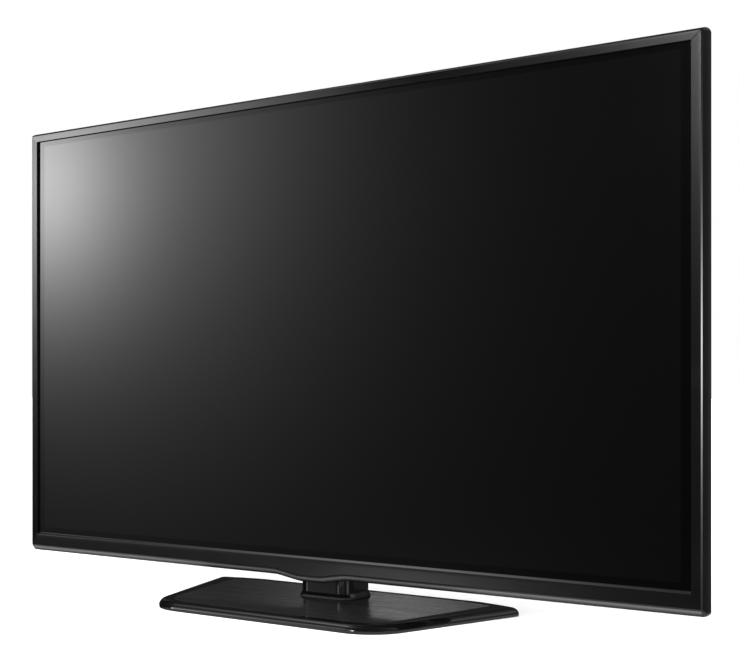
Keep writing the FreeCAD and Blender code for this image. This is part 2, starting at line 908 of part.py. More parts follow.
def pillar_places():
    """Places of the cover screws: a row along the top, a row along the bottom and the two sides."""
    half = body_half - back_inset - pillar_edge
    places = []
    for x in even(-half, half, pillar_columns):
        places.append((x, pillar_high_z))
    for x in (-half, -low_vent_half_gap + pillar_edge / 2, low_vent_half_gap - pillar_edge / 2, half):
        places.append((x, pillar_low_z))
    for x in (-half, half):
        places.append((x, (pillar_low_z + pillar_high_z) / 2))
    return places


def insert_places():
    """Places of the four wall mount inserts."""
    half = wall_mount_pitch / 2
    return [(x, set_middle_z + z) for x in (-half, half) for z in (-half, half)]


def neck_screw_places():
    """Places of the four screws that hold the neck to the set."""
    low = set_bottom_z + neck_screw_low
    return [(x, z) for x in centred(neck_screw_pitch_x, 2) for z in (low, low + neck_screw_pitch_z)]


def rear_cover():
    """The cover shell with its pockets, slots, screw holes and socket windows."""
    outer = carve(cover_skin(0), [neck_pocket(0), terminal_pocket(0), inlet_pocket(0)])
    hollow_tools = [neck_pocket(cover_wall), terminal_pocket(cover_wall), inlet_pocket(cover_wall)]
    hollow = carve(cover_skin(cover_wall), hollow_tools)
    tools = [hollow] + vent_slots() + sound_slots()
    for x, z in pillar_places():
        tools.append(rod_y(x, z, cover_screw_radius + pillar_bore_gap, y_at(slope_depth), y_at(set_depth)))
    for x, z in insert_places():
        tools.append(rod_y(x, z, insert_radius + insert_gap, y_at(slope_depth), y_at(set_depth)))
    floor_y = neck_front_y - neck_face_gap
    for x, z in neck_screw_places():
        tools.append(rod_y(x, z, neck_screw_radius + pillar_bore_gap, floor_y - cover_wall, floor_y))
    tools.append(slab(
        terminal_left + terminal_lip, terminal_right - terminal_lip, terminal_low + terminal_lip,
        terminal_high - terminal_lip, terminal_floor_depth - cover_wall, cover_wall))
    tools.append(slab(
        inlet_x - inlet_width / 2 - socket_gap, inlet_x + inlet_width / 2 + socket_gap,
        inlet_z - inlet_height / 2 - socket_gap, inlet_z + inlet_height / 2 + socket_gap,
        inlet_floor_depth - cover_wall, cover_wall))
    return carve(outer, tools)


def cover_fixings():
    """Pillars, cover screws and wall mount inserts."""
    pillars, screws, inserts = [], [], []
    pillar_end = y_at(set_depth - cover_wall)
    for x, z in pillar_places():
        post = rod_y(x, z, pillar_radius, y_at(chassis_back), pillar_end)
        bore_start = pillar_end - screw_grip - pillar_bore_spare
        bore = rod_y(x, z, cover_screw_radius + pillar_bore_gap, bore_start, pillar_end)
        pillars.append(post.cut(bore))
        shank = rod_y(x, z, cover_screw_radius, pillar_end - screw_grip, y_at(set_depth))
        head = rod_y(x, z, screw_head_radius, y_at(set_depth), y_at(set_depth) + screw_head_height)
        screws.append(join([shank, head]))
    for x, z in insert_places():
        body = rod_y(x, z, insert_radius, y_at(chassis_back), y_at(set_depth))
        bore = rod_y(x, z, insert_bore_radius, y_at(set_depth - insert_bore_depth), y_at(set_depth))
        inserts.append(body.cut(bore))
    return {
        "cover_pillars": group(pillars),
        "cover_screws": group(screws),
        "wall_mount_inserts": group(inserts),
    }


def socket_shell(x, z, width, height, wall):
    """A metal or plastic socket shell from the main board to the terminal plate, open to the rear."""
    tip = terminal_floor_depth - cover_wall + socket_stand
    outer = slab(x - width / 2, x + width / 2, z - height / 2, z + height / 2, board_back, tip - board_back)
    inner = slab(
        x - width / 2 + wall, x + width / 2 - wall, z - height / 2 + wall, z + height / 2 - wall,
        board_back + socket_floor, tip - board_back - socket_floor)
    return outer.cut(inner)


def tongued_socket(x, z, width, height, wall, tongue_width, tongue_height):
    """A socket shell with a contact tongue in its mouth."""
    tip = terminal_floor_depth - cover_wall
    tongue = slab(
        x - tongue_width / 2, x + tongue_width / 2, z - tongue_height / 2, z + tongue_height / 2,
        board_back + socket_floor, tip - board_back - socket_floor - socket_stand)
    return join([socket_shell(x, z, width, height, wall), tongue])


def hdmi_places():
    """Places of the video sockets, one below the other."""
    return [(left_column_x, column_top_z - index * hdmi_pitch) for index in range(hdmi_count)]


def jack_places():
    """Places of the round audio and video jacks."""
    return [(right_column_x, column_low_z + index * jack_pitch) for index in range(jack_count)]


def usb_place():
    """Place of the data socket."""
    return left_column_x, column_top_z - hdmi_count * hdmi_pitch


def network_place():
    """Place of the network socket."""
    return left_column_x, usb_place()[1] - hdmi_pitch - network_drop


def optical_place():
    """Place of the optical audio socket."""
    return right_column_x, column_top_z


def aerial_place():
    """Place of the aerial socket."""
    return right_column_x, column_top_z - 2 * jack_pitch


def terminal_parts():
    """The terminal plate and every socket on the main board."""
    hdmi = []
    for x, z in hdmi_places():
        hdmi.append(tongued_socket(
            x, z, hdmi_width, hdmi_height, hdmi_wall, hdmi_tongue_width, hdmi_tongue_height))
    ux, uz = usb_place()
    usb = tongued_socket(ux, uz, usb_width, usb_height, usb_wall, usb_tongue_width, usb_tongue_height)
    nx, nz = network_place()
    network_wall = (network_width - network_mouth_width) / 2
    network = socket_shell(nx, nz, network_width, network_height, network_wall)
    ox, oz = optical_place()
    optical = socket_shell(ox, oz, optical_size, optical_size, (optical_size - optical_mouth) / 2)
    plate_front = terminal_floor_depth - cover_wall - terminal_plate
    jacks = []
    for x, z in jack_places():
        root = slab(
            x - jack_block / 2, x + jack_block / 2, z - jack_block / 2, z + jack_block / 2,
            board_back, plate_front - board_back)
        barrel_end = y_at(plate_front + jack_length)
        barrel = rod_y(x, z, jack_radius, y_at(plate_front), barrel_end)
        bore = rod_y(x, z, jack_bore, y_at(board_back + socket_floor), barrel_end)
        jacks.append(join([root, barrel]).cut(bore))
    ax, az = aerial_place()
    aerial_end = y_at(plate_front + aerial_length)
    can = slab(
        ax - jack_block, ax + jack_block, az - jack_block, az + jack_block,
        board_back, plate_front - board_back)
    barrel = rod_y(ax, az, aerial_radius, y_at(plate_front), aerial_end)
    bore = rod_y(ax, az, aerial_bore, y_at(board_back + socket_floor), aerial_end)
    return {
        "terminal_plate": terminal_plate_solid(plate_front),
        "hdmi_sockets": group(hdmi),
        "data_sockets": group([usb, network, optical]),
        "audio_video_jacks": group(jacks),
        "aerial_socket": join([can, barrel]).cut(bore),
    }


def plate_hole(place, width, height, plate_front):
    """A rectangular socket hole in the terminal plate."""
    x, z = place
    return slab(
        x - width / 2 - socket_gap, x + width / 2 + socket_gap, z - height / 2 - socket_gap,
        z + height / 2 + socket_gap, plate_front, terminal_plate)


def terminal_plate_solid(plate_front):
    """The plate behind the recess, with a hole for each socket."""
    margin = terminal_lip / 2
    plate = slab(
        terminal_left - margin, terminal_right + margin, terminal_low - margin, terminal_high + margin,
        plate_front, terminal_plate)
    holes = []
    for place in hdmi_places():
        holes.append(plate_hole(place, hdmi_width, hdmi_height, plate_front))
    holes.append(plate_hole(usb_place(), usb_width, usb_height, plate_front))
    holes.append(plate_hole(network_place(), network_width, network_height, plate_front))
    holes.append(plate_hole(optical_place(), optical_size, optical_size, plate_front))
    plate_end = y_at(plate_front + terminal_plate)
    for x, z in jack_places():
        holes.append(rod_y(x, z, jack_radius + socket_gap, y_at(plate_front), plate_end))
    ax, az = aerial_place()
    holes.append(rod_y(ax, az, aerial_radius + socket_gap, y_at(plate_front), plate_end))
    return carve(plate, holes)


def mains_inlet():
    """Three-pin mains inlet: a flanged shell, its mouth to the rear, with three blades."""
    half_w, half_h = inlet_width / 2, inlet_height / 2
    top = inlet_floor_depth + inlet_flange
    shell = slab(
        inlet_x - half_w, inlet_x + half_w, inlet_z - half_h, inlet_z + half_h,
        top - inlet_depth, inlet_depth)
    flange = slab(
        inlet_x - half_w - inlet_flange_margin, inlet_x + half_w + inlet_flange_margin,
        inlet_z - half_h - inlet_flange_margin / 2, inlet_z + half_h + inlet_flange_margin / 2,
        inlet_floor_depth, inlet_flange)
    mouth = slab(
        inlet_x - half_w + inlet_wall, inlet_x + half_w - inlet_wall, inlet_z - half_h + inlet_wall,
        inlet_z + half_h - inlet_wall, top - inlet_depth + inlet_floor, inlet_depth - inlet_floor)
    body = join([shell, flange]).cut(mouth)
    floor_depth = top - inlet_depth + inlet_floor
    blades = []
    for x, z in ((-blade_pitch / 2, 0), (blade_pitch / 2, 0), (0, earth_offset)):
        blades.append(slab(
            inlet_x + x - blade_thickness / 2, inlet_x + x + blade_thickness / 2,
            inlet_z + z - blade_width / 2, inlet_z + z + blade_width / 2, floor_depth, blade_length))
    return {"mains_inlet": body, "inlet_blades": group(blades)}


def speaker_parts():
    """Two loudspeaker boxes facing down, their cones and rubber mounting pads."""
    boxes, cones, pads = [], [], []
    low = set_bottom_z + speaker_bottom_gap
    front = skirt_depth + speaker_wall / 2
    for side in (-1, 1):
        x = side * speaker_x
        left, right = x - speaker_width / 2, x + speaker_width / 2
        outer = slab(left, right, low, low + speaker_height, front, speaker_depth)
        inner = slab(
            left + speaker_wall, right - speaker_wall, low + speaker_wall,
            low + speaker_height - speaker_wall, front + speaker_wall, speaker_depth - 2 * speaker_wall)
        middle_y = y_at(front + speaker_depth / 2)
        mouth = block(
            x - cone_length / 2, x + cone_length / 2, middle_y - cone_width / 2, middle_y + cone_width / 2,
            low, low + speaker_wall)
        boxes.append(carve(outer, [inner, mouth]))
        rim = rectangle(
            x - cone_length / 2, x + cone_length / 2, middle_y - cone_width / 2, middle_y + cone_width / 2,
            cone_corner_radius)
        tip = flat_wire(shrink(rim, cone_taper), low + cone_depth)
        cones.append(skin_through([flat_wire(rim, low), tip]))
        for end in (left - foot_pad, right):
            pads.append(slab(
                end, end + foot_pad, low + speaker_wall, low + speaker_height / 2,
                board_back + socket_gap, front + speaker_depth - board_back - socket_gap))
    return {
        "speaker_boxes": group(boxes),
        "speaker_cones": group(cones),
        "speaker_pads": group(pads),
    }


def base_corners():
    """Outline of the base from above: straight front, slanted sides and a gently bowed back."""
    slant = (base_back_half - base_front_half) / base_depth
    tip_x = base_back_half - base_tip_forward * slant
    tip_y = base_half_depth - base_tip_forward
    return [
        (-base_front_half, -base_half_depth, base_front_radius),
        (base_front_half, -base_half_depth, base_front_radius),
        (tip_x, tip_y, base_tip_radius),
        (base_shoulder_half, base_half_depth, base_shoulder_radius),
        (-base_shoulder_half, base_half_depth, base_shoulder_radius),
        (-tip_x, tip_y, base_tip_radius),
    ]


def base_ring_heights():
    """Rings of the border from the skirt up to the inset: distance inwards and height."""
    return [
        (0, base_skirt_top),
        (base_border_step, base_skirt_top + base_border_step_rise),
        (base_border_mid, base_skirt_top + base_border_mid_rise),
        (base_border, base_height),
    ]


def base_parts():
    """Cover, brushed inset, steel plate, feet and screws of the base."""
    corners = base_corners()
    rings = [flat_wire(corners, base_skirt_bottom)]
    for inwards, height in base_ring_heights():
        rings.append(flat_wire(shrink(corners, inwards), height))
    whole = skin_through(rings)
    floor_z = base_height - inset_thickness
    plate_top = floor_z - base_floor
    plate_low = plate_top - base_plate_thickness
    inset = flat_prism(shrink(corners, base_border), floor_z, base_height)
    hollow_rings = []
    hollow_heights = (
        (base_wall, base_skirt_bottom),
        (base_wall + base_border_step, plate_top - base_wall),
        (base_wall + base_border_mid, plate_top))
    for inwards, height in hollow_heights:
        hollow_rings.append(flat_wire(shrink(corners, inwards), height))
    hollow = skin_through(hollow_rings)
    hub = rod_z(0, neck_y, swivel_disc_radius + hub_gap, base_skirt_bottom, base_height)
    plate = flat_prism(shrink(corners, base_wall + base_border_mid + base_plate_margin), plate_low, plate_top)
    bush_radius = swivel_shaft_radius + swivel_running_gap + swivel_bush_wall
    plate = plate.cut(rod_z(0, neck_y, bush_radius, plate_low, plate_top))
    feet, screws, holes = [], [], []
    for x, y in foot_places():
        feet.append(rod_z(x, y, foot_radius, 0, plate_low))
    for x, y in base_screw_places():
        shank = rod_z(x, y, base_screw_radius, plate_low, plate_top)
        head = rod_z(x, y, base_screw_head, plate_low - base_screw_head_height, plate_low)
        screws.append(join([shank, head]))
        holes.append(rod_z(x, y, base_screw_radius + pillar_bore_gap, plate_low, plate_top))
    return {
        "base_cover": carve(whole, [inset, hollow, hub]),
        "base_inset": inset.cut(hub),
        "base_plate": carve(plate, holes),
        "base_feet": group(feet),
        "base_screws": group(screws),
    }


def foot_places():
    """Places of the rubber feet: three along the front and four along the back."""
    front_y = -base_half_depth + foot_margin
    back_y = base_half_depth - foot_margin
    front_x = base_front_half - foot_margin
    back_x = base_back_half - 2 * foot_margin
    places = [(x, front_y) for x in even(-front_x, front_x, 3)]
    return places + [(x, back_y) for x in even(-back_x, back_x, 4)]


def base_screw_places():
    """Places of the screws that hold the steel plate in the cover."""
    y_front, y_back = -base_half_depth + base_screw_margin, base_half_depth - base_screw_margin
    x_front, x_back = base_front_half - 2 * foot_margin, base_back_half - 3 * foot_margin
    return [(x, y_front) for x in (-x_front, x_front)] + [(x, y_back) for x in (-x_back, x_back)]


def swivel_parts():
    """Bush, friction disc, shaft, wave washer and retaining ring of the swivel."""
    plate_top = base_height - inset_thickness - base_floor
    plate_low = plate_top - base_plate_thickness
    disc_top = plate_top + swivel_disc_thickness
    foot_top = disc_top + core_foot_thickness
    washer_low = plate_low - washer_gap - wave_washer_thickness
    ring_low = washer_low - retainer_thickness
    bush_bore = swivel_shaft_radius + swivel_running_gap
    bush = rod_z(0, neck_y, bush_bore + swivel_bush_wall, plate_low, plate_top)
    disc = rod_z(0, neck_y, swivel_disc_radius, plate_top, disc_top)
    clear = swivel_shaft_radius + turn_gap
    shaft = rod_z(0, neck_y, swivel_shaft_radius, ring_low, foot_top)
    washer_top = washer_low + wave_washer_thickness
    washer = rod_z(0, neck_y, wave_washer_radius, washer_low, washer_top)
    ring = rod_z(0, neck_y, retainer_radius, ring_low, washer_low)
    shaft_bore = rod_z(0, neck_y, swivel_shaft_radius - core_wall, ring_low, foot_top)
    return {
        "swivel_bush": bush.cut(rod_z(0, neck_y, bush_bore, plate_low, plate_top)),
        "swivel_disc": disc.cut(rod_z(0, neck_y, clear, plate_top, disc_top)),
        "swivel_shaft": shaft.cut(shaft_bore),
        "wave_washer": washer.cut(rod_z(0, neck_y, swivel_shaft_radius, washer_low, washer_top)),
        "retaining_ring": ring.cut(rod_z(0, neck_y, swivel_shaft_radius, ring_low, washer_low)),
    }


def neck_outline(grow):
    """Outline of the neck from above, grown or drawn in all round."""
    half_w, half_d = neck_width / 2 + grow, neck_depth / 2 + grow
    radius = neck_corner_radius + grow
    return rectangle(-half_w, half_w, neck_y - half_d, neck_y + half_d, radius)


def neck_slope_tool():
    """The wedge cut from the back of the neck above the set's lower edge."""
    z0 = set_bottom_z + neck_slope_start
    z1 = neck_top_z
    back = neck_y + neck_depth / 2 + collar_step
    y_top = neck_front_y + neck_top_depth
    half = neck_width / 2 + collar_step
    points = [V(-half, back, z0), V(-half, back, z1), V(-half, y_top, z1), V(-half, back, z0)]
    return Part.Face(Part.makePolygon(points)).extrude(V(2 * half, 0, 0))


def neck_parts():
    """Steel core, collar and the two halves of the glossy neck cover."""
    collar_low = base_height + turn_gap
    cover_low = collar_low + collar_height
    flare_top = cover_low + neck_flare_height
    body = join([
        skin_through([flat_wire(neck_outline(neck_flare), cover_low), flat_wire(neck_outline(0), flare_top)]),
        flat_prism(neck_outline(0), flare_top, neck_top_z),
    ])
    wedge = neck_slope_tool()
    cavity = flat_prism(neck_outline(-neck_wall), cover_low, neck_top_z - neck_wall)
    inner_wedge = wedge.translated(V(0, -neck_slope_wall, -neck_wall))
    pad_half = core_width / 2 + socket_gap
    window = block(
        -pad_half, pad_half, neck_front_y, neck_front_y + neck_wall + 2 * socket_gap,
        set_bottom_z + core_pad_margin - socket_gap, neck_top_z - core_pad_margin + socket_gap)
    shell = carve(body.cut(wedge), [cavity.cut(inner_wedge), window])
    reach = neck_width
    front_half = block(-reach, reach, neck_front_y - reach, neck_y, 0, neck_top_z + reach)
    rear_half = block(-reach, reach, neck_y, neck_y + reach, 0, neck_top_z + reach)
    collar_body = skin_through([
        flat_wire(neck_outline(collar_step), collar_low),
        flat_wire(neck_outline(collar_step), collar_low + collar_height / 2),
        flat_wire(neck_outline(neck_flare), cover_low),
    ])
    collar = collar_body.cut(flat_prism(neck_outline(-neck_wall), collar_low, cover_low))
    return {
        "neck_front_cover": shell.common(front_half),
        "neck_rear_cover": shell.common(rear_half),
        "neck_collar": collar,
        "neck_core": neck_core(),
        "stand_bracket": stand_bracket(),
        "neck_screws": neck_screws(),
    }


def neck_core():
    """Steel core: a round foot on the swivel, an upright channel and a pad bolted to the set."""
    foot_low = base_height - inset_thickness - base_floor + swivel_disc_thickness
    foot_top = foot_low + core_foot_thickness
    half = core_width / 2
    front = neck_front_y + neck_wall + socket_gap
    back = min(front + core_depth, neck_y + neck_depth / 2 - neck_wall - socket_gap)
    foot = rod_z(0, neck_y, core_foot_radius, foot_low, foot_top)
    foot = foot.cut(rod_z(0, neck_y, swivel_shaft_radius, foot_low, foot_top))
    pad_top = neck_top_z - core_pad_margin
    channel_top = set_bottom_z + neck_slope_start
    web = block(-half, half, front, front + core_wall, foot_top, pad_top)
    walls = []
    for side in (-1, 1):
        inner, outer = sorted((side * half, side * (half - core_wall)))
        lower = block(inner, outer, front, back, foot_top, channel_top)
        gusset_points = [
            V(inner, front, channel_top), V(inner, back, channel_top), V(inner, front + core_wall, pad_top),
            V(inner, front, pad_top), V(inner, front, channel_top)]
        gusset = Part.Face(Part.makePolygon(gusset_points)).extrude(V(outer - inner, 0, 0))
        clearance = V(0, -neck_slope_wall - core_slope_gap, -neck_slope_wall)
        clipped = gusset.cut(neck_slope_tool().translated(clearance))
        walls += [lower, clipped]
    pad = block(
        -half, half, neck_front_y - neck_face_gap, front, set_bottom_z + core_pad_margin, pad_top)
    holes = []
    for x, z in neck_screw_places():
        holes.append(rod_y(
            x, z, neck_screw_radius + pillar_bore_gap, neck_front_y - neck_face_gap, front + core_wall))
    return carve(join([foot, web, pad] + walls), holes)


def stand_bracket():
    """Steel bracket between the chassis and the cover's neck pocket."""
    half = neck_width / 2 + pocket_side_gap
    low = set_bottom_z + strip_height + bezel_wall + clamp_thickness * 2
    chassis_low = panel_low_z + chassis_thickness + socket_gap
    high = neck_top_z + pocket_top_gap - cover_wall
    back_y = neck_front_y - neck_face_gap - cover_wall
    face = block(-half, half, back_y - bracket_thickness, back_y, low, high)
    foot_front = y_at(chassis_back)
    walls = []
    for side in (-1, 1):
        x0, x1 = sorted((side * half, side * (half - bracket_thickness)))
        walls.append(block(x0, x1, foot_front, back_y, chassis_low, high))
    holes = []
    for x, z in neck_screw_places():
        holes.append(rod_y(x, z, neck_screw_radius + pillar_bore_gap, back_y - bracket_thickness, back_y))
    return carve(join([face] + walls), holes)


def neck_screws():
    """Four screws through the core's pad and the cover into the stand bracket."""
    tip = neck_front_y - neck_face_gap - cover_wall - bracket_thickness
    seat = neck_front_y + neck_wall + socket_gap + core_wall
    screws = []
    for x, z in neck_screw_places():
        shank = rod_y(x, z, neck_screw_radius, tip, seat)
        head = rod_y(x, z, neck_screw_head, seat, seat + neck_screw_head_height)
        screws.append(join([shank, head]))
    return group(screws)


def joystick_slider(pivot_z, slider_low):
    """The sprung disc, with a lug on each side that carries the cradle's pins."""
    y = stick_axis_y()
    disc = rod_z(0, y, stick_slider_radius, slider_low, slider_low + stick_slider_height)
    inner = stick_ball_radius + stick_lug_gap
    reach = stick_pin_radius + stick_pin_gap + stick_lug_rim
    lugs = []
    for side in (-1, 1):
        x0, x1 = sorted((side * inner, side * (inner + stick_lug_width)))
        lugs.append(block(x0, x1, y - reach, y + reach, pivot_z - reach, slider_low))
    bore = rod_x(y, pivot_z, stick_pin_radius + stick_pin_gap, -stick_slider_radius, stick_slider_radius)
    return join([disc] + lugs).cut(bore)


def joystick_parts():
    """Housing, slider, cradle and cap of the joystick."""
    y = stick_axis_y()
    pivot_z = chin_bottom_z() + stick_pivot_rise
    cap_low = chin_bottom_z() + stick_cap_raise
    slider_low = pivot_z + stick_ball_radius + stick_gap
    cavity_top = slider_low + stick_slider_height + stick_press + stick_gap
    housing_low = chin_bottom_z() + strip_height + bezel_wall
    housing = rod_z(0, y, stick_hole_radius + stick_wall, housing_low, cavity_top + stick_wall)
    housing = housing.cut(rod_z(0, y, stick_slider_radius + stick_gap, housing_low, cavity_top))
    bore_top = pivot_z + stick_ball_radius / 2
    stem_hole = stick_stem_radius + stick_stem_gap
    pin_reach = stick_ball_radius + stick_lug_gap + stick_lug_width
    cradle = join([
        Part.makeSphere(stick_ball_radius, V(0, y, pivot_z)),
        rod_x(y, pivot_z, stick_pin_radius, -pin_reach, pin_reach),
    ]).cut(rod_z(0, y, stem_hole, pivot_z - stick_ball_radius, bore_top))
    cap = rod_z(0, y, stick_cap_radius, cap_low, cap_low + stick_cap_height)
    cap = cap.makeFillet(stick_cap_edge, cap.Edges)
    stem = rod_z(0, y, stick_stem_radius, cap_low + stick_cap_height / 2, bore_top - stick_gap)
    cross_reach = stem_hole - stick_pin_clearance
    cross_pin = rod_y(0, pivot_z, stick_pin_radius, y - cross_reach, y + cross_reach)
    return {
        "joystick_housing": housing,
        "joystick_slider": joystick_slider(pivot_z, slider_low),
        "joystick_cradle": cradle,
        "joystick_cap": join([cap, stem, cross_pin]),
    }


def sensor_board():
    """Small board behind the sensor window, carrying the receiver."""
    low, high = sensor_z() - sensor_height / 2, sensor_z() + sensor_height / 2
    left, right = sensor_x - sensor_width, sensor_x + light_offset + sensor_width / 2
    return slab(left, right, low, high, bezel_plate, board_thickness)


def build():
    """Every node of the television."""
    parts = {}
    parts.update(front_parts())
    parts["sensor_board"] = sensor_board()
    parts.update(joystick_parts())
    parts.update(screen_parts())
    parts["chassis_ribs"] = chassis_ribs()
    parts.update(board_parts())
    parts["rear_cover"] = rear_cover()
    parts.update(cover_fixings())
    parts.update(terminal_parts())
    parts.update(mains_inlet())
    parts.update(speaker_parts())
    parts.update(base_parts())
    parts.update(swivel_parts())
    parts.update(neck_parts())
    return parts


for node, shape in build().items():
    shape.exportStep("parts/" + node + ".step")
    print(node, "solids", len(shape.Solids), "valid", shape.isValid(), "cm3", round(shape.Volume / 1000, 1))
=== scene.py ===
"""Looks of a large flat screen television on a swivel stand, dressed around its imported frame.

The frame holds every piece at its real size. This file gives each visible piece its finish, and builds the
pieces whose edges, curves and small parts carry the look: bezel, light strip, rear cover, neck, base and
fasteners. Lengths are in metres, +Z is up and the screen faces -Y.
"""

import json
import logging
import math
from collections.abc import Callable, Sequence
from dataclasses import dataclass
from enum import Enum

import bmesh
import bpy
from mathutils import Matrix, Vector

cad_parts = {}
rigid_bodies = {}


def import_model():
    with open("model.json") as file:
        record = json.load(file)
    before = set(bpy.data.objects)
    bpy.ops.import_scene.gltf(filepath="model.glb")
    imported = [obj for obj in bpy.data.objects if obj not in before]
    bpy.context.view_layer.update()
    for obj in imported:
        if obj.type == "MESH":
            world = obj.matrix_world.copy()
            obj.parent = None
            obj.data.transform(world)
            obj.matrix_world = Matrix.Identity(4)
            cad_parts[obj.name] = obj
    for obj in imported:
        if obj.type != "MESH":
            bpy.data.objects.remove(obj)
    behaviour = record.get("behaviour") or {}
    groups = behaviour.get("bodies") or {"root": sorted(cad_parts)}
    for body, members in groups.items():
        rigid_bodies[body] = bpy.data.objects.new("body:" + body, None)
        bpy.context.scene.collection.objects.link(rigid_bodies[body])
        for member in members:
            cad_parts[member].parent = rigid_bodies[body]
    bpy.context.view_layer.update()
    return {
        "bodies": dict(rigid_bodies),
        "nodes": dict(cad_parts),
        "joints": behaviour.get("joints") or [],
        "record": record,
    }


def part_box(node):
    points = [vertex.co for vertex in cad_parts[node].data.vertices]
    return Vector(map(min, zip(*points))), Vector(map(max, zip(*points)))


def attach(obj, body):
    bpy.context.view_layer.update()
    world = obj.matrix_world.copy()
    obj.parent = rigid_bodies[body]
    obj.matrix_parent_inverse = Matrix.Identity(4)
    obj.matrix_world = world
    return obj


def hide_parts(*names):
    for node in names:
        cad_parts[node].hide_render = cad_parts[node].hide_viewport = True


log = logging.getLogger("television")

Corner = tuple[float, float, float]
Flat = tuple[float, float]
Triple = tuple[float, float, float]
WHITE: Triple = (1.0, 1.0, 1.0)
MM = 0.001
WELD = 1e-6
DUST_LEVEL = 0.25


class Axis(Enum):
    """A direction that a pattern or a row of pieces runs along."""

    X = (1.0, 0.0, 0.0)
    Y = (0.0, 1.0, 0.0)
    Z = (0.0, 0.0, 1.0)


class Drive(Enum):
    """The recess in a screw's head."""

    CROSS = 4
    HEX = 6


class Nodes:
    """A short way to add and link nodes in one node tree."""

    def __init__(self, tree: bpy.types.NodeTree) -> None:
        """Keeps the tree that the nodes go into."""
        self.tree = tree

    def add(self, kind: str, **settings: object) -> bpy.types.Node:
        """Adds a node.

        Args:
            kind: the node's type name.
            settings: properties to set on it.

        Returns:
            The new node.
        """
        node = self.tree.nodes.new(kind)
        for key, value in settings.items():
            setattr(node, key, value)
        return node

    def feed(self, socket: bpy.types.NodeSocket, value: object) -> None:
        """Links an output to a socket, or sets the socket to a constant.

        Args:
            socket: the input to feed.
            value: an output or a constant.
        """
        if isinstance(value, bpy.types.NodeSocket):
            self.tree.links.new(value, socket)
        else:
            socket.default_value = value

    def math(self, operation: str, *values: object) -> bpy.types.NodeSocket:
        """Adds a math node.

        Args:
            operation: the operation's name.
            values: outputs or numbers, one for each input.

        Returns:
            The node's output.
        """
        node = self.add("ShaderNodeMath", operation=operation)
        for socket, value in zip(node.inputs, values):
            self.feed(socket, value)
        return node.outputs[0]

    def ramp(self, value: object, low: float, high: float, to_low: float, to_high: float,
             kind: str = "SMOOTHSTEP") -> bpy.types.NodeSocket:
        """Maps a value from one range to another.

        Args:
            value: the output to map.
            low: the range's start.
            high: the range's end.
            to_low: the result at the start.
            to_high: the result at the end.
            kind: how the value runs between them.

        Returns:
            The mapped output.
        """
        node = self.add("ShaderNodeMapRange", interpolation_type=kind, clamp=True)
        for socket, part in zip(node.inputs, (value, low, high, to_low, to_high)):
            self.feed(socket, part)
        return node.outputs[0]

    def blend(self, share: object, first: object, second: object) -> bpy.types.NodeSocket:
        """Mixes two colours.

        Args:
            share: how much of the second colour shows, 0 to 1.
            first: an output or a colour.
            second: an output or a colour.

        Returns:
            The mixed colour.
        """
        node = self.add("ShaderNodeMix", data_type="RGBA")
        self.feed(node.inputs[0], share)
        self.feed(node.inputs[6], first)
        self.feed(node.inputs[7], second)
        return node.outputs[2]

    def noise(self, place: bpy.types.NodeSocket, scale: object, detail: float,
              distortion: float = 0.0) -> bpy.types.NodeSocket:
        """Adds a noise texture.

        Args:
            place: the coordinates that it is read at.
            scale: how fine it is, as an output or a number.
            detail: how many finer layers it has.
            distortion: how far it is warped.

        Returns:
            The noise's value, about 0 to 1.
        """
        node = self.add("ShaderNodeTexNoise")
        self.feed(node.inputs["Vector"], place)
        self.feed(node.inputs["Scale"], scale)
        node.inputs["Detail"].default_value = detail
        node.inputs["Distortion"].default_value = distortion
        return node.outputs[0]

    def split(self, vector: bpy.types.NodeSocket) -> list[bpy.types.NodeSocket]:
        """Parts a vector.

        Args:
            vector: the vector's output.

        Returns:
            Its x, y and z.
        """
        node = self.add("ShaderNodeSeparateXYZ")
        self.feed(node.inputs[0], vector)
        return list(node.outputs)

    def group(self, tree: bpy.types.NodeTree, **values: object) -> bpy.types.Node:
        """Places a node group and feeds its named inputs.

        Args:
            tree: the group's tree.
            values: outputs or constants by input name, with underscores for spaces.

        Returns:
            The group node.
        """
        node = self.add("ShaderNodeGroup", node_tree=tree)
        for key, value in values.items():
            self.feed(node.inputs[key.replace("_", " ")], value)
        return node


def new_group(name: str, inputs: dict[str, float | None],
              outputs: Sequence[str]) -> tuple[bpy.types.NodeTree, Nodes, bpy.types.Node, bpy.types.Node]:
    """Starts a shader node group.

    Args:
        name: the group's name.
        inputs: input names with their starting values; None makes a vector input.
        outputs: names of its outputs, each a single value.

    Returns:
        The tree, a Nodes helper, the group's input node and its output node.
    """
    tree = bpy.data.node_groups.new(name, "ShaderNodeTree")
    for key, value in inputs.items():
        kind = "NodeSocketVector" if value is None else "NodeSocketFloat"
        socket = tree.interface.new_socket(name=key, in_out="INPUT", socket_type=kind)
        if value is not None:
            socket.default_value = value
    for key in outputs:
        tree.interface.new_socket(name=key, in_out="OUTPUT", socket_type="NodeSocketFloat")
    nodes = Nodes(tree)
    return tree, nodes, nodes.add("NodeGroupInput"), nodes.add("NodeGroupOutput")


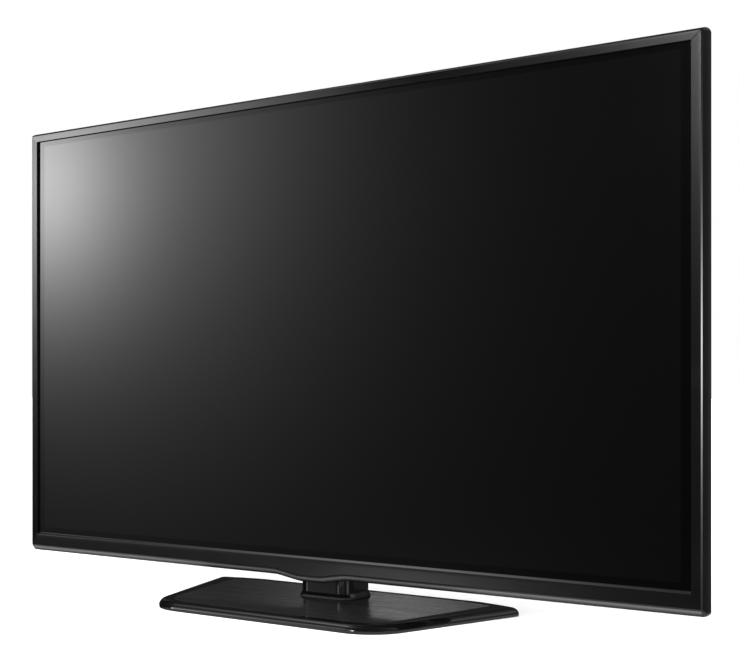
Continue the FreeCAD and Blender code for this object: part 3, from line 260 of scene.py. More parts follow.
class SharedGroups:
    """The shader groups that more than one finish uses, each built once."""

    def __init__(self) -> None:
        """Builds every group."""
        self.grain = self.build_grain()
        self.polish = self.build_polish()
        self.streaks = self.build_streaks()
        self.dust = self.build_dust()

    @staticmethod
    def build_grain() -> bpy.types.NodeTree:
        """Moulded plastic grain: rounded cells with a soft mottle.

        Returns:
            The group, with a height, a colour share and a roughness share.
        """
        tree, nodes, given, out = new_group(
            "moulded grain", {"Place": None, "Cell Size": 0.0006, "Mottle Size": 0.05},
            ["Height", "Shade", "Rough"])
        place = given.outputs["Place"]
        cell = nodes.math("DIVIDE", 1.0, given.outputs["Cell Size"])
        mottle = nodes.math("DIVIDE", 1.0, given.outputs["Mottle Size"])
        cells = nodes.add("ShaderNodeTexVoronoi", feature="F1")
        nodes.feed(cells.inputs["Vector"], place)
        nodes.feed(cells.inputs["Scale"], cell)
        fine = nodes.noise(place, cell, detail=3.0)
        height = nodes.math("MULTIPLY_ADD", fine, 0.6, cells.outputs["Distance"])
        nodes.feed(out.inputs["Height"], height)
        nodes.feed(out.inputs["Shade"], nodes.ramp(height, 0.2, 1.2, 0.0, 1.0))
        nodes.feed(out.inputs["Rough"], nodes.noise(place, mottle, detail=4.0))
        return tree

    @staticmethod
    def build_polish() -> bpy.types.NodeTree:
        """Polished surface: smears that change the gloss a little.

        Returns:
            The group, with a smear mask.
        """
        tree, nodes, given, out = new_group("polish", {"Place": None, "Smear Size": 0.09}, ["Smear"])
        scale = nodes.math("DIVIDE", 1.0, given.outputs["Smear Size"])
        smear = nodes.noise(given.outputs["Place"], scale, detail=6.0, distortion=0.6)
        nodes.feed(out.inputs["Smear"], nodes.ramp(smear, 0.45, 0.75, 0.0, 1.0))
        return tree

    @staticmethod
    def build_streaks() -> bpy.types.NodeTree:
        """Brushed metal: long fine streaks along one stretched direction of the given place.

        Returns:
            The group, with a streak value and a height.
        """
        tree, nodes, given, out = new_group(
            "brushed streaks", {"Place": None, "Fineness": 900.0}, ["Streak", "Height"])
        total = None
        for share, rate in ((0.5, 1.0), (0.3, 2.7), (0.2, 0.35)):
            scale = nodes.math("MULTIPLY", given.outputs["Fineness"], rate)
            part = nodes.math("MULTIPLY", nodes.noise(given.outputs["Place"], scale, detail=2.0), share)
            total = part if total is None else nodes.math("ADD", total, part)
        nodes.feed(out.inputs["Streak"], nodes.ramp(total, 0.36, 0.64, 0.0, 1.0, "LINEAR"))
        nodes.feed(out.inputs["Height"], total)
        return tree

    @staticmethod
    def build_dust() -> bpy.types.NodeTree:
        """Fine dust that settles on faces that look up.

        Returns:
            The group, with a dust mask.
        """
        tree, nodes, given, out = new_group("dust", {"Place": None, "Amount": 0.3}, ["Mask"])
        normal = nodes.add("ShaderNodeNewGeometry").outputs["Normal"]
        upward = nodes.ramp(nodes.split(normal)[2], 0.4, 1.0, 0.0, 1.0)
        specks = nodes.noise(given.outputs["Place"], 240.0, detail=8.0)
        spots = nodes.ramp(specks, 0.52, 0.7, 0.0, 1.0)
        share = nodes.math("MULTIPLY", nodes.math("MULTIPLY", upward, spots), given.outputs["Amount"])
        nodes.feed(out.inputs["Mask"], share)
        return tree


class Canvas:
    """One new material with its shader, its output and its object coordinates."""

    def __init__(self, name: str) -> None:
        """Makes the material.

        Args:
            name: the material's name.
        """
        self.material = bpy.data.materials.new(name)
        self.material.use_nodes = True
        self.material.node_tree.nodes.clear()
        self.nodes = Nodes(self.material.node_tree)
        self.shader = self.nodes.add("ShaderNodeBsdfPrincipled")
        out = self.nodes.add("ShaderNodeOutputMaterial")
        self.nodes.feed(out.inputs["Surface"], self.shader.outputs[0])
        self.place = self.nodes.add("ShaderNodeTexCoord").outputs["Object"]

    def set(self, **values: object) -> None:
        """Feeds the shader's inputs by name, with underscores for spaces."""
        for key, value in values.items():
            self.nodes.feed(self.shader.inputs[key.replace("_", " ")], value)

    def bump(self, height: bpy.types.NodeSocket, depth: float) -> None:
        """Adds relief to the shader.

        Args:
            height: the height, about 0 to 1.
            depth: the relief's depth in metres.
        """
        node = self.nodes.add("ShaderNodeBump")
        node.inputs["Strength"].default_value = 1.0
        node.inputs["Distance"].default_value = depth
        self.nodes.feed(node.inputs["Height"], height)
        self.nodes.feed(self.shader.inputs["Normal"], node.outputs[0])

    def stretched(self, axis: Axis, factor: float) -> bpy.types.NodeSocket:
        """Object coordinates shortened along one axis, so that a pattern runs along it.

        Args:
            axis: the axis.
            factor: how many times longer the pattern gets.

        Returns:
            The coordinates.
        """
        node = self.nodes.add("ShaderNodeMapping")
        self.nodes.feed(node.inputs["Vector"], self.place)
        node.inputs["Scale"].default_value = [1.0 / factor if part else 1.0 for part in axis.value]
        return node.outputs[0]

    def smears(self, shared: SharedGroups, size: float) -> bpy.types.NodeSocket:
        """A mask of faint smears of one size."""
        return self.nodes.group(shared.polish, Place=self.place, Smear_Size=size).outputs["Smear"]

    def rougher(self, mask: bpy.types.NodeSocket, roughness: float, more: float) -> bpy.types.NodeSocket:
        """Roughness that rises by some more where a mask is full."""
        return self.nodes.ramp(mask, 0.0, 1.0, roughness, roughness + more)

    def dusted(self, shared: SharedGroups, colour: object, amount: float) -> bpy.types.NodeSocket:
        """A colour with an amount of dust on what looks up."""
        dust = self.nodes.group(shared.dust, Place=self.place, Amount=amount)
        return self.nodes.blend(dust.outputs["Mask"], colour, tone(DUST_LEVEL))


def tone(level: float, tint: Triple = WHITE) -> tuple[float, ...]:
    """A colour from a grey level and a tint."""
    return tuple(level * part for part in tint) + (1.0,)


@dataclass(frozen=True)
class Finish:
    """A finish, named as its material."""

    name: str

    def build(self, shared: SharedGroups) -> bpy.types.Material:
        """Makes the material.

        Args:
            shared: the shader groups that the finishes share.

        Returns:
            The material.
        """
        canvas = Canvas(self.name)
        self.dress(canvas, shared)
        return canvas.material

    def dress(self, canvas: Canvas, shared: SharedGroups) -> None:
        """Lays the finish on a new material; each kind of finish has its own way."""
        raise NotImplementedError


@dataclass(frozen=True)
class Gloss(Finish):
    """Polished plastic with faint smears."""

    level: float
    tint: Triple = WHITE
    roughness: float = 0.08
    smear: float = 0.05
    smear_size: float = 0.09
    dusty: float = 0.0
    lighten: float = 1.25
    lift: float = 0.0006

    def dress(self, canvas: Canvas, shared: SharedGroups) -> None:
        """Makes the smears a little lighter and rougher.

        Args:
            canvas: the new material.
            shared: the shader groups.
        """
        smears = canvas.smears(shared, self.smear_size)
        lighter = tone(self.level * self.lighten + self.lift, self.tint)
        base = canvas.nodes.blend(smears, tone(self.level, self.tint), lighter)
        if self.dusty:
            base = canvas.dusted(shared, base, self.dusty)
        canvas.set(Base_Color=base, Roughness=canvas.rougher(smears, self.roughness, self.smear))


@dataclass(frozen=True)
class Moulded(Finish):
    """Moulded plastic, rubber or paint with a fine grain."""

    level: float
    tint: Triple = WHITE
    roughness: float = 0.5
    cell: float = 0.0007
    depth: float = 0.00006
    dusty: float = 0.1
    shade: float = 0.2
    mottle: float = 0.06

    def dress(self, canvas: Canvas, shared: SharedGroups) -> None:
        """Shades and roughens the grain, and dusts it.

        Args:
            canvas: the new material.
            shared: the shader groups.
        """
        nodes = canvas.nodes
        grain = nodes.group(shared.grain, Place=canvas.place, Cell_Size=self.cell)
        dark = tone(self.level * (1 - self.shade), self.tint)
        light = tone(self.level * (1 + self.shade), self.tint)
        base = canvas.dusted(shared, nodes.blend(grain.outputs["Shade"], dark, light), self.dusty)
        rough = nodes.ramp(
            grain.outputs["Rough"], 0.3, 0.7, self.roughness - self.mottle, self.roughness + self.mottle)
        canvas.set(Base_Color=base, Roughness=rough)
        canvas.bump(grain.outputs["Height"], self.depth)


@dataclass(frozen=True)
class Metal(Finish):
    """Rolled, plated or brushed metal, with streaks along one axis."""

    level: float
    tint: Triple = WHITE
    roughness: float = 0.35
    contrast: float = 0.2
    fineness: float = 900.0
    stretch: float = 60.0
    axis: Axis = Axis.X
    metallic: float = 1.0
    depth: float = 0.000004
    spread: float = 0.0
    dull: float = 0.08
    bright: float = 0.04

    def dress(self, canvas: Canvas, shared: SharedGroups) -> None:
        """Lays the streaks, and spreads the highlights across them where it is brushed.

        Args:
            canvas: the new material.
            shared: the shader groups.
        """
        nodes = canvas.nodes
        streaks = nodes.group(
            shared.streaks, Place=canvas.stretched(self.axis, self.stretch), Fineness=self.fineness)
        low = tone(self.level * (1 - self.contrast), self.tint)
        high = tone(self.level * (1 + self.contrast), self.tint)
        base = nodes.blend(streaks.outputs["Streak"], low, high)
        rough = nodes.ramp(
            streaks.outputs["Streak"], 0.0, 1.0, self.roughness + self.dull, self.roughness - self.bright,
            "LINEAR")
        canvas.set(Base_Color=base, Roughness=rough, Metallic=self.metallic)
        if self.spread:
            across = nodes.add("ShaderNodeTangent", direction_type="UV_MAP", uv_map="brushing")
            canvas.set(Anisotropic=self.spread, Tangent=across.outputs[0])
        canvas.bump(streaks.outputs["Height"], self.depth)


@dataclass(frozen=True)
class ScreenGlass(Finish):
    """Dark coated glass with a black border printed on its inner face."""

    active_half: float
    active_low: float
    active_high: float
    roughness: float = 0.085
    smear: float = 0.012
    smear_size: float = 0.22
    picture_level: float = 0.0007
    picture_tint: Triple = (0.94, 0.98, 1.0)
    border_level: float = 0.0004
    gloss: float = 0.25
    border_loss: float = 0.2
    edge: float = 0.0006

    def dress(self, canvas: Canvas, shared: SharedGroups) -> None:
        """Parts the picture from the printed border.

        Args:
            canvas: the new material.
            shared: the shader groups.
        """
        nodes = canvas.nodes
        x, _, z = nodes.split(canvas.place)
        across = nodes.math("ABSOLUTE", x)
        inside = nodes.ramp(across, self.active_half - self.edge, self.active_half, 1.0, 0.0)
        above = nodes.ramp(z, self.active_low, self.active_low + self.edge, 0.0, 1.0)
        below = nodes.ramp(z, self.active_high - self.edge, self.active_high, 1.0, 0.0)
        mask = nodes.math("MULTIPLY", nodes.math("MULTIPLY", inside, above), below)
        border, picture = tone(self.border_level), tone(self.picture_level, self.picture_tint)
        smears = canvas.smears(shared, self.smear_size)
        canvas.set(
            Base_Color=nodes.blend(mask, border, picture), Specular_IOR_Level=self.gloss,
            Roughness=canvas.rougher(smears, self.roughness, self.smear),
            Metallic=nodes.math("MULTIPLY", nodes.math("SUBTRACT", 1.0, mask), self.border_loss))


@dataclass(frozen=True)
class PaintedLightStrip(Finish):
    """Grey satin plastic with painted light and shade by its own map: a painted highlight band near its
    upper edge and painted shade where it rounds under.
    """

    # colour levels across the strip: a painted highlight band in the upper third, painted shade towards the
    # lower edge
    levels: tuple[Flat, ...] = (
        (0.0, 0.006), (0.13, 0.009), (0.22, 0.02), (0.3, 0.07), (0.38, 0.062), (0.5, 0.038), (0.65, 0.014),
        (0.82, 0.004), (1.0, 0.002))
    roughness: float = 0.36
    smear: float = 0.06
    smear_size: float = 0.05
    gloss: float = 0.12

    def dress(self, canvas: Canvas, shared: SharedGroups) -> None:
        """Lays the levels of painted highlight and painted shade across the strip.

        Args:
            canvas: the new material.
            shared: the shader groups.
        """
        nodes = canvas.nodes
        # painted light and shade: the ramp lightens the upper third and darkens the lower edge along the
        # strip's own map
        fade = nodes.add("ShaderNodeValToRGB")
        nodes.feed(fade.inputs[0], nodes.split(nodes.add("ShaderNodeUVMap", uv_map="across").outputs[0])[1])
        stops = fade.color_ramp.elements
        for index, (place, level) in enumerate(self.levels):
            stop = stops[index] if index < 2 else stops.new(place)
            stop.position, stop.color = place, tone(level)
        smears = canvas.smears(shared, self.smear_size)
        canvas.set(
            Base_Color=fade.outputs[0], Specular_IOR_Level=self.gloss,
            Roughness=canvas.rougher(smears, self.roughness, self.smear))


@dataclass(frozen=True)
class CircuitBoard(Finish):
    """Solder mask over copper tracks, with tinned pads."""

    level: Triple = (0.012, 0.09, 0.035)
    track: Triple = (0.03, 0.17, 0.07)
    pad: Triple = (0.5, 0.5, 0.48)
    pitch: float = 0.0035
    track_depth: float = 0.00003
    dusty: float = 0.3

    def dress(self, canvas: Canvas, shared: SharedGroups) -> None:
        """Lays tracks between the cells of a square pattern, and a pad in each cell.

        Args:
            canvas: the new material.
            shared: the shader groups.
        """
        nodes = canvas.nodes
        cells = nodes.add("ShaderNodeTexVoronoi", feature="F1", distance="CHEBYCHEV")
        nodes.feed(cells.inputs["Vector"], canvas.place)
        cells.inputs["Scale"].default_value = 1.0 / self.pitch
        lanes = nodes.ramp(cells.outputs["Distance"], 0.34, 0.4, 0.0, 1.0)
        dots = nodes.ramp(cells.outputs["Distance"], 0.08, 0.12, 1.0, 0.0)
        base = nodes.blend(lanes, self.level + (1.0,), self.track + (1.0,))
        base = nodes.blend(dots, base, self.pad + (1.0,))
        rough = nodes.ramp(dots, 0.0, 1.0, 0.35, 0.25)
        canvas.set(Base_Color=canvas.dusted(shared, base, self.dusty), Roughness=rough)
        canvas.bump(lanes, self.track_depth)


@dataclass(frozen=True)
class ClearLens(Finish):
    """Tinted clear plastic over a dark hollow."""

    colour: Triple
    roughness: float = 0.05
    transmission: float = 0.6
    smear: float = 0.05
    smear_size: float = 0.01

    def dress(self, canvas: Canvas, shared: SharedGroups) -> None:
        """Makes it let some light through.

        Args:
            canvas: the new material.
            shared: the shader groups.
        """
        smears = canvas.smears(shared, self.smear_size)
        canvas.set(
            Base_Color=self.colour + (1.0,), Transmission_Weight=self.transmission,
            Roughness=canvas.rougher(smears, self.roughness, self.smear))


class Finishes:
    """Every finish of the object, built when it is first asked for."""

    def __init__(self, shared: SharedGroups, screen: ScreenGlass) -> None:
        """Lists the finishes.

        Args:
            shared: the shader groups.
            screen: the finish of the glass in front of the picture.
        """
        self.shared = shared
        self.made: dict[str, bpy.types.Material] = {}
        listed = [
            screen,
            Gloss("gloss_black", 0.0013, roughness=0.09, smear=0.03, dusty=0.02),
            PaintedLightStrip("strip_grey"),
            Gloss("smoked_window", 0.0025, (1.0, 0.75, 0.8), roughness=0.09),
            ClearLens("light_lens", (0.005, 0.002, 0.002), 0.09, 0.1),
            Moulded("stick_plastic", 0.012, roughness=0.42, cell=0.0004, depth=0.00003),
            Gloss("panel_glass", 0.03, roughness=0.04),
            Moulded("foam_black", 0.02, roughness=0.9, cell=0.0005, depth=0.0001),
            Moulded("graphite_sheet", 0.05, roughness=0.6, cell=0.0003, depth=0.00002),
            Metal("chassis_aluminium", 0.72, roughness=0.38, contrast=0.08),
            Metal("zinc_steel", 0.58, (0.98, 1.0, 1.03), roughness=0.33, contrast=0.15, stretch=4.0),
            CircuitBoard("board_green"),
            Gloss("capacitor_sleeve", 0.03, (0.8, 0.85, 1.3), roughness=0.25),
            Moulded("ferrite", 0.07, roughness=0.5, cell=0.0004, depth=0.00003),
            Moulded("chip_black", 0.02, roughness=0.55, cell=0.0002, depth=0.00001),
            Gloss("ribbon_amber", 0.4, (1.1, 0.5, 0.12), roughness=0.3),
            Moulded("cover_black", 0.016, (1.0, 1.0, 1.04), roughness=0.48, cell=0.0012, depth=0.00009),
            Metal("screw_black", 0.09, roughness=0.35, contrast=0.2, stretch=3.0),
            Moulded("terminal_black", 0.022, roughness=0.45, cell=0.0005, depth=0.00004),
            Metal("socket_steel", 0.62, roughness=0.28, contrast=0.1, stretch=8.0),
            Moulded("socket_black", 0.014, roughness=0.4, cell=0.0003, depth=0.00002),
            Metal("jack_nickel", 0.75, roughness=0.2, contrast=0.08, stretch=4.0),
            Metal("blade_brass", 0.72, (1.0, 0.84, 0.5), roughness=0.25, contrast=0.1, axis=Axis.Y),
            Moulded("speaker_black", 0.02, roughness=0.6),
            Moulded("cone_grey", 0.1, roughness=0.8, cell=0.0005, depth=0.00008),
            Gloss("base_gloss", 0.0013, roughness=0.07, smear=0.04, dusty=0.01),
            Metal("base_brushed", 0.1, roughness=0.27, contrast=0.35, fineness=700.0, stretch=90.0,
                  metallic=0.97, depth=0.000006, spread=0.8),
            Moulded("plate_steel", 0.03, roughness=0.4, cell=0.0009, depth=0.00003),
            Moulded("foot_rubber", 0.02, roughness=0.8, cell=0.0006, depth=0.00005),
            Moulded("acetal_white", 0.6, (1.0, 0.99, 0.96), roughness=0.4, cell=0.0004, depth=0.00001),
            Gloss("neck_gloss", 0.0015, (1.0, 1.0, 1.08), roughness=0.09, smear=0.04, dusty=0.02),
            Moulded("collar_satin", 0.002, roughness=0.6, cell=0.0004, depth=0.00001),
        ]
        self.listed = {finish.name: finish for finish in listed}

    def get(self, name: str) -> bpy.types.Material:
        """The material of a finish, made when it is first asked for.

        Args:
            name: the finish's name.

        Returns:
            Its material.
        """
        if name not in self.made:
            self.made[name] = self.listed[name].build(self.shared)
        return self.made[name]


def arms(corners: Sequence[Corner], index: int) -> tuple[Vector, Vector]:
    """The directions of an outline's two sides that meet at a corner.

    Args:
        corners: corners as (u, v, radius), in order.
        index: which corner.

    Returns:
        The directions to the corner before it and to the corner after it.
    """
    u, v = corners[index][:2]
    before, after = corners[index - 1], corners[(index + 1) % len(corners)]
    to_before = Vector((before[0] - u, before[1] - v)).normalized()
    to_after = Vector((after[0] - u, after[1] - v)).normalized()
    return to_before, to_after


def rounded(corners: Sequence[Corner], steps: int) -> list[Flat]:
    """Points of a closed outline with a round arc at every corner.

    Args:
        corners: corners as (u, v, radius), in order.
        steps: arc steps at each corner.

    Returns:
        The points, steps + 1 for each corner.
    """
    points = []
    for index, (u, v, radius) in enumerate(corners):
        a, b = arms(corners, index)
        half = a.angle(b) / 2
        corner = Vector((u, v))
        centre = corner + (a + b).normalized() * (radius / math.sin(half))
        start = corner + a * (radius / math.tan(half)) - centre
        turn = (math.pi - 2 * half) * (1 if a.x * b.y - a.y * b.x < 0 else -1)
        for step in range(steps + 1):
            angle = turn * step / steps
            cos, sin = math.cos(angle), math.sin(angle)
            points.append((
                centre.x + start.x * cos - start.y * sin,
                centre.y + start.x * sin + start.y * cos))
    return points


def shrink(corners: Sequence[Corner], distance: float) -> list[Corner]:
    """A convex outline moved inwards by one distance all round, with no corner sharper than a millimetre.

    Args:
        corners: corners as (u, v, radius).
        distance: how far inwards; less than 0 grows it.

    Returns:
        The new corners.
    """
    result = []
    for index, (u, v, radius) in enumerate(corners):
        a, b = arms(corners, index)
        reach = distance / math.sin(a.angle(b) / 2)
        moved = Vector((u, v)) + (a + b).normalized() * reach
        result.append((moved.x, moved.y, max(radius - distance, MM)))
    return result


def mix_outlines(first: Sequence[Flat], second: Sequence[Flat], share: float) -> list[Flat]:
    """An outline part of the way from one to another."""
    return [
        (a[0] + (b[0] - a[0]) * share, a[1] + (b[1] - a[1]) * share) for a, b in zip(first, second)]


class Draft:
    """A mesh in the making, from rings of points joined by faces."""

    def __init__(self) -> None:
        """Starts an empty mesh."""
        self.points: list[Triple] = []
        self.faces: list[list[int]] = []

    def ring(self, points: Sequence[Triple]) -> list[int]:
        """Adds points.

        Args:
            points: the points, in order.

        Returns:
            Their indices.
        """
        start = len(self.points)
        self.points.extend(tuple(point) for point in points)
        return list(range(start, len(self.points)))

    def loft(self, rings: Sequence[Sequence[int]]) -> None:
        """Joins closed rings of the same count, each to the next.

        Args:
            rings: the rings, in order.
        """
        for first, second in zip(rings, rings[1:]):
            for index in range(len(first)):
                following = (index + 1) % len(first)
                self.faces.append([first[index], first[following], second[following], second[index]])

    def cap(self, ring: Sequence[int]) -> None:
        """Closes a ring with one face."""
        self.faces.append(list(ring))

    def build(self, name: str, material: bpy.types.Material) -> bpy.types.Object:
        """Makes the object, with its faces turned outwards.

        Args:
            name: the object's name.
            material: its material.

        Returns:
            The new object.
        """
        mesh = bpy.data.meshes.new(name)
        mesh.from_pydata(self.points, [], self.faces)
        tidy = bmesh.new()
        tidy.from_mesh(mesh)
        bmesh.ops.remove_doubles(tidy, verts=tidy.verts, dist=WELD)
        bmesh.ops.recalc_face_normals(tidy, faces=tidy.faces)
        tidy.to_mesh(mesh)
        tidy.free()
        mesh.materials.append(material)
        obj = bpy.data.objects.new(name, mesh)
        bpy.context.scene.collection.objects.link(obj)
        return obj


def settle(obj: bpy.types.Object) -> bpy.types.Object:
    """Applies an object's modifiers and leaves it as a plain mesh.

    Args:
        obj: the object.

    Returns:
        The same object.
    """
    bpy.context.view_layer.update()
    evaluated = obj.evaluated_get(bpy.context.evaluated_depsgraph_get())
    mesh = bpy.data.meshes.new_from_object(evaluated)
    old = obj.data
    obj.modifiers.clear()
    obj.data = mesh
    mesh.name = obj.name
    if old.users == 0:
        bpy.data.meshes.remove(old)
    return obj


def smooth(obj: bpy.types.Object, angle: float = 32.0) -> bpy.types.Object:
    """Shades an object smooth, sharp past an angle, with large faces kept flat.

    Args:
        obj: the object.
        angle: the sharp angle in degrees.

    Returns:
        The same object, as a plain mesh.
    """
    mesh = obj.data
    mesh.shade_smooth()
    mesh.set_sharp_from_angle(angle=math.radians(angle))
    weighted = obj.modifiers.new("even shading", "WEIGHTED_NORMAL")
    weighted.keep_sharp = True
    weighted.weight = 100
    return settle(obj)


def cut(obj: bpy.types.Object, tools: Sequence[bpy.types.Object], keep: bool = False) -> bpy.types.Object:
    """Cuts tools out of an object and removes them.

    Args:
        obj: the object.
        tools: closed objects.
        keep: whether the object keeps what lies inside the tools instead.

    Returns:
        The same object, as a plain mesh.
    """
    for tool in tools:
        boolean = obj.modifiers.new("cut", "BOOLEAN")
        boolean.operation = "INTERSECT" if keep else "DIFFERENCE"
        boolean.solver = "EXACT"
        boolean.object = tool
    settle(obj)
    for tool in tools:
        bpy.data.objects.remove(tool)
    return obj


def raised(outline: Sequence[Flat], level: float, axis: Axis) -> list[Triple]:
    """The points of an outline that stands across an axis.

    Args:
        outline: (x, y) across Z, (x, z) across Y or (y, z) across X.
        level: where it stands on the axis.
        axis: the axis.

    Returns:
        The points.
    """
    if axis is Axis.X:
        return [(level, u, v) for u, v in outline]
    if axis is Axis.Y:
        return [(u, level, v) for u, v in outline]
    return [(u, v, level) for u, v in outline]


def stack(name: str, levels: Sequence[tuple[Sequence[Flat], float]], material: bpy.types.Material,
          axis: Axis = Axis.Z, hollow: bool = False) -> bpy.types.Object:
    """A closed piece through outlines that stand across one axis.

    Args:
        name: the object's name.
        levels: outlines of the same count, each with its place on the axis.
        material: its material.
        axis: the axis.
        hollow: whether the last outline joins the first, as in a ring, instead of a cap on each.

    Returns:
        The new object.
    """
    draft = Draft()
    rings = [draft.ring(raised(outline, level, axis)) for outline, level in levels]
    if hollow:
        draft.loft(rings + rings[:1])
    else:
        draft.loft(rings)
        draft.cap(rings[0])
        draft.cap(rings[-1])
    return draft.build(name, material)


def prism(name: str, outline: Sequence[Flat], low: float, high: float, axis: Axis,
          material: bpy.types.Material) -> bpy.types.Object:
    """A closed prism with its outline across an axis, from low to high on it."""
    return stack(name, [(outline, low), (outline, high)], material, axis)


def circle(radius: float, count: int, centre: Flat = (0.0, 0.0)) -> list[Flat]:
    """Points of a circle."""
    turns = [math.tau * index / count for index in range(count)]
    return [(centre[0] + radius * math.cos(t), centre[1] + radius * math.sin(t)) for t in turns]


def lathe(name: str, profile: Sequence[Flat], count: int, material: bpy.types.Material) -> bpy.types.Object:
    """A turned piece about Z, through rings of so many points, from (radius, z) of each."""
    return stack(name, [(circle(radius, count), z) for radius, z in profile], material)


def islands(node: bpy.types.Object) -> list[tuple[Vector, Vector]]:
    """The separate solids of a frame node, each by its lowest and highest corner.

    Args:
        node: the node's object.

    Returns:
        A box for each solid, ordered from left to right and then from low to high.
    """
    work = bmesh.new()
    work.from_mesh(node.data)
    bmesh.ops.remove_doubles(work, verts=work.verts, dist=WELD)
    boxes = []
    seen: set[int] = set()
    work.verts.index_update()
    for vert in work.verts:
        if vert.index in seen:
            continue
        waiting, members = [vert], []
        seen.add(vert.index)
        while waiting:
            current = waiting.pop()
            members.append(current.co.copy())
            for edge in current.link_edges:
                other = edge.other_vert(current)
                if other.index not in seen:
                    seen.add(other.index)
                    waiting.append(other)
        low = Vector([min(point[k] for point in members) for k in range(3)])
        high = Vector([max(point[k] for point in members) for k in range(3)])
        boxes.append((low, high))
    work.free()
    return sorted(boxes, key=lambda pair: (round(pair[0].x, 4), round(pair[0].z, 4), round(pair[0].y, 4)))


class Scatter:
    """Geometry Nodes that place copies of one shape at given points."""

    SEED = 7
    SHARP_ANGLE = 35.0

    def __init__(self) -> None:
        """Builds the tree with its named inputs."""
        tree = bpy.data.node_groups.new("copies at points", "GeometryNodeTree")
        face = tree.interface
        kinds = {
            "Points": "Geometry", "Shape": "Object", "Turn": "Rotation", "Spin": "Float",
            "Finish": "Material"}
        for key, kind in kinds.items():
            face.new_socket(name=key, in_out="INPUT", socket_type="NodeSocket" + kind)
        face.new_socket(name="Copies", in_out="OUTPUT", socket_type="NodeSocketGeometry")
        nodes = Nodes(tree)
        given, out = nodes.add("NodeGroupInput"), nodes.add("NodeGroupOutput")
        shape = nodes.add("GeometryNodeObjectInfo")
        nodes.feed(shape.inputs["Object"], given.outputs["Shape"])
        spin = nodes.add("FunctionNodeRandomValue")
        spin.inputs[2].default_value = 0.0
        nodes.feed(spin.inputs[3], given.outputs["Spin"])
        spin.inputs["Seed"].default_value = self.SEED
        axis = nodes.add("ShaderNodeCombineXYZ")
        nodes.feed(axis.inputs[2], spin.outputs[1])
        place = nodes.add("GeometryNodeInstanceOnPoints")
        nodes.feed(place.inputs["Points"], given.outputs["Points"])
        nodes.feed(place.inputs["Instance"], shape.outputs["Geometry"])
        nodes.feed(place.inputs["Rotation"], given.outputs["Turn"])
        turn = nodes.add("GeometryNodeRotateInstances")
        nodes.feed(turn.inputs["Instances"], place.outputs[0])
        nodes.feed(turn.inputs["Rotation"], axis.outputs[0])
        solid = nodes.add("GeometryNodeRealizeInstances")
        nodes.feed(solid.inputs[0], turn.outputs[0])
        paint = nodes.add("GeometryNodeSetMaterial")
        nodes.feed(paint.inputs["Geometry"], solid.outputs[0])
        nodes.feed(paint.inputs["Material"], given.outputs["Finish"])
        nodes.feed(out.inputs[0], paint.outputs[0])
        self.tree = tree
        self.names = {item.name: item.identifier for item in face.items_tree if item.in_out == "INPUT"}

    def place(self, name: str, shape: bpy.types.Object, points: Sequence[Vector],
              material: bpy.types.Material, turn: Triple = (0.0, 0.0, 0.0),
              spin: float = 0.0) -> bpy.types.Object:
        """Copies a shape to each point and removes the original.

        Args:
            name: the new object's name.
            shape: the shape, about the origin.
            points: where the copies go.
            material: their material.
            turn: the turn of every copy, as Euler angles.
            spin: the largest seeded turn of a copy about its own axis.

        Returns:
            One object with every copy, as a plain mesh.
        """
        mesh = bpy.data.meshes.new(name)
        mesh.from_pydata([tuple(point) for point in points], [], [])
        obj = bpy.data.objects.new(name, mesh)
        bpy.context.scene.collection.objects.link(obj)
        modifier = obj.modifiers.new("copies", "NODES")
        modifier.node_group = self.tree
        modifier[self.names["Shape"]] = shape
        modifier[self.names["Turn"]] = turn
        modifier[self.names["Spin"]] = spin
        modifier[self.names["Finish"]] = material
        settle(obj)
        bpy.data.objects.remove(shape)
        obj.data.shade_smooth()
        obj.data.set_sharp_from_angle(angle=math.radians(self.SHARP_ANGLE))
        return obj


class Workshop:
    """What every sub-assembly needs: the frame, the finishes and the tool that places copies."""

    FLAT_ANGLE = 0.5
    EDGE_ANGLE = 30.0

    def __init__(self, frame: dict, finishes: Finishes) -> None:
        """Keeps the frame and lists the slot and body of each node.

        Args:
            frame: what the frame loader gave.
            finishes: the finishes.
        """
        self.nodes = frame["nodes"]
        self.finishes = finishes
        self.scatter = Scatter()
        record = frame["record"]
        self.slots = {part["node"]: part["material_slot"] for part in record["subparts"]}
        bodies = record["behaviour"]["bodies"]
        self.bodies = {node: body for body, members in bodies.items() for node in members}
        self.replaced: set[str] = set()

    def stand_for(self, obj: bpy.types.Object, *names: str) -> None:
        """Lets a piece stand for frame nodes, on their body and in their slot.

        Args:
            obj: the piece.
            names: the nodes that it replaces.
        """
        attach(obj, self.bodies[names[0]])
        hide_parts(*names)
        self.replaced.update(names)
        log.info("%s: %d faces, stands for %s", obj.name, len(obj.data.polygons), ", ".join(names))

    def soften(self, node: str, width: float) -> None:
        """Rebuilds a node's shape with merged faces and rounded edges, and lets it stand for the node.

        Args:
            node: the node's name.
            width: the width of the rounded edges.
        """
        work = bmesh.new()
        work.from_mesh(self.nodes[node].data)
        bmesh.ops.remove_doubles(work, verts=work.verts, dist=2 * WELD)
        bmesh.ops.dissolve_limit(
            work, angle_limit=math.radians(self.FLAT_ANGLE), verts=work.verts, edges=work.edges)
        mesh = bpy.data.meshes.new(node + "_rounded")
        work.to_mesh(mesh)
        work.free()
        mesh.materials.append(self.finishes.get(self.slots[node]))
        obj = bpy.data.objects.new(node + "_rounded", mesh)
        bpy.context.scene.collection.objects.link(obj)
        bevel = obj.modifiers.new("rounded edges", "BEVEL")
        bevel.width = width
        bevel.segments = 2
        bevel.limit_method = "ANGLE"
        bevel.angle_limit = math.radians(self.EDGE_ANGLE)
        bevel.use_clamp_overlap = True
        self.stand_for(smooth(settle(obj)), node)

    def paint_rest(self) -> None:
        """Gives every node that nothing replaces its own material."""
        for name, obj in self.nodes.items():
            if name in self.replaced:
                continue
            material = self.finishes.get(self.slots[name])
            obj.data.materials.clear()
            obj.data.materials.append(material)
            log.info("%s: finish %s", name, self.slots[name])


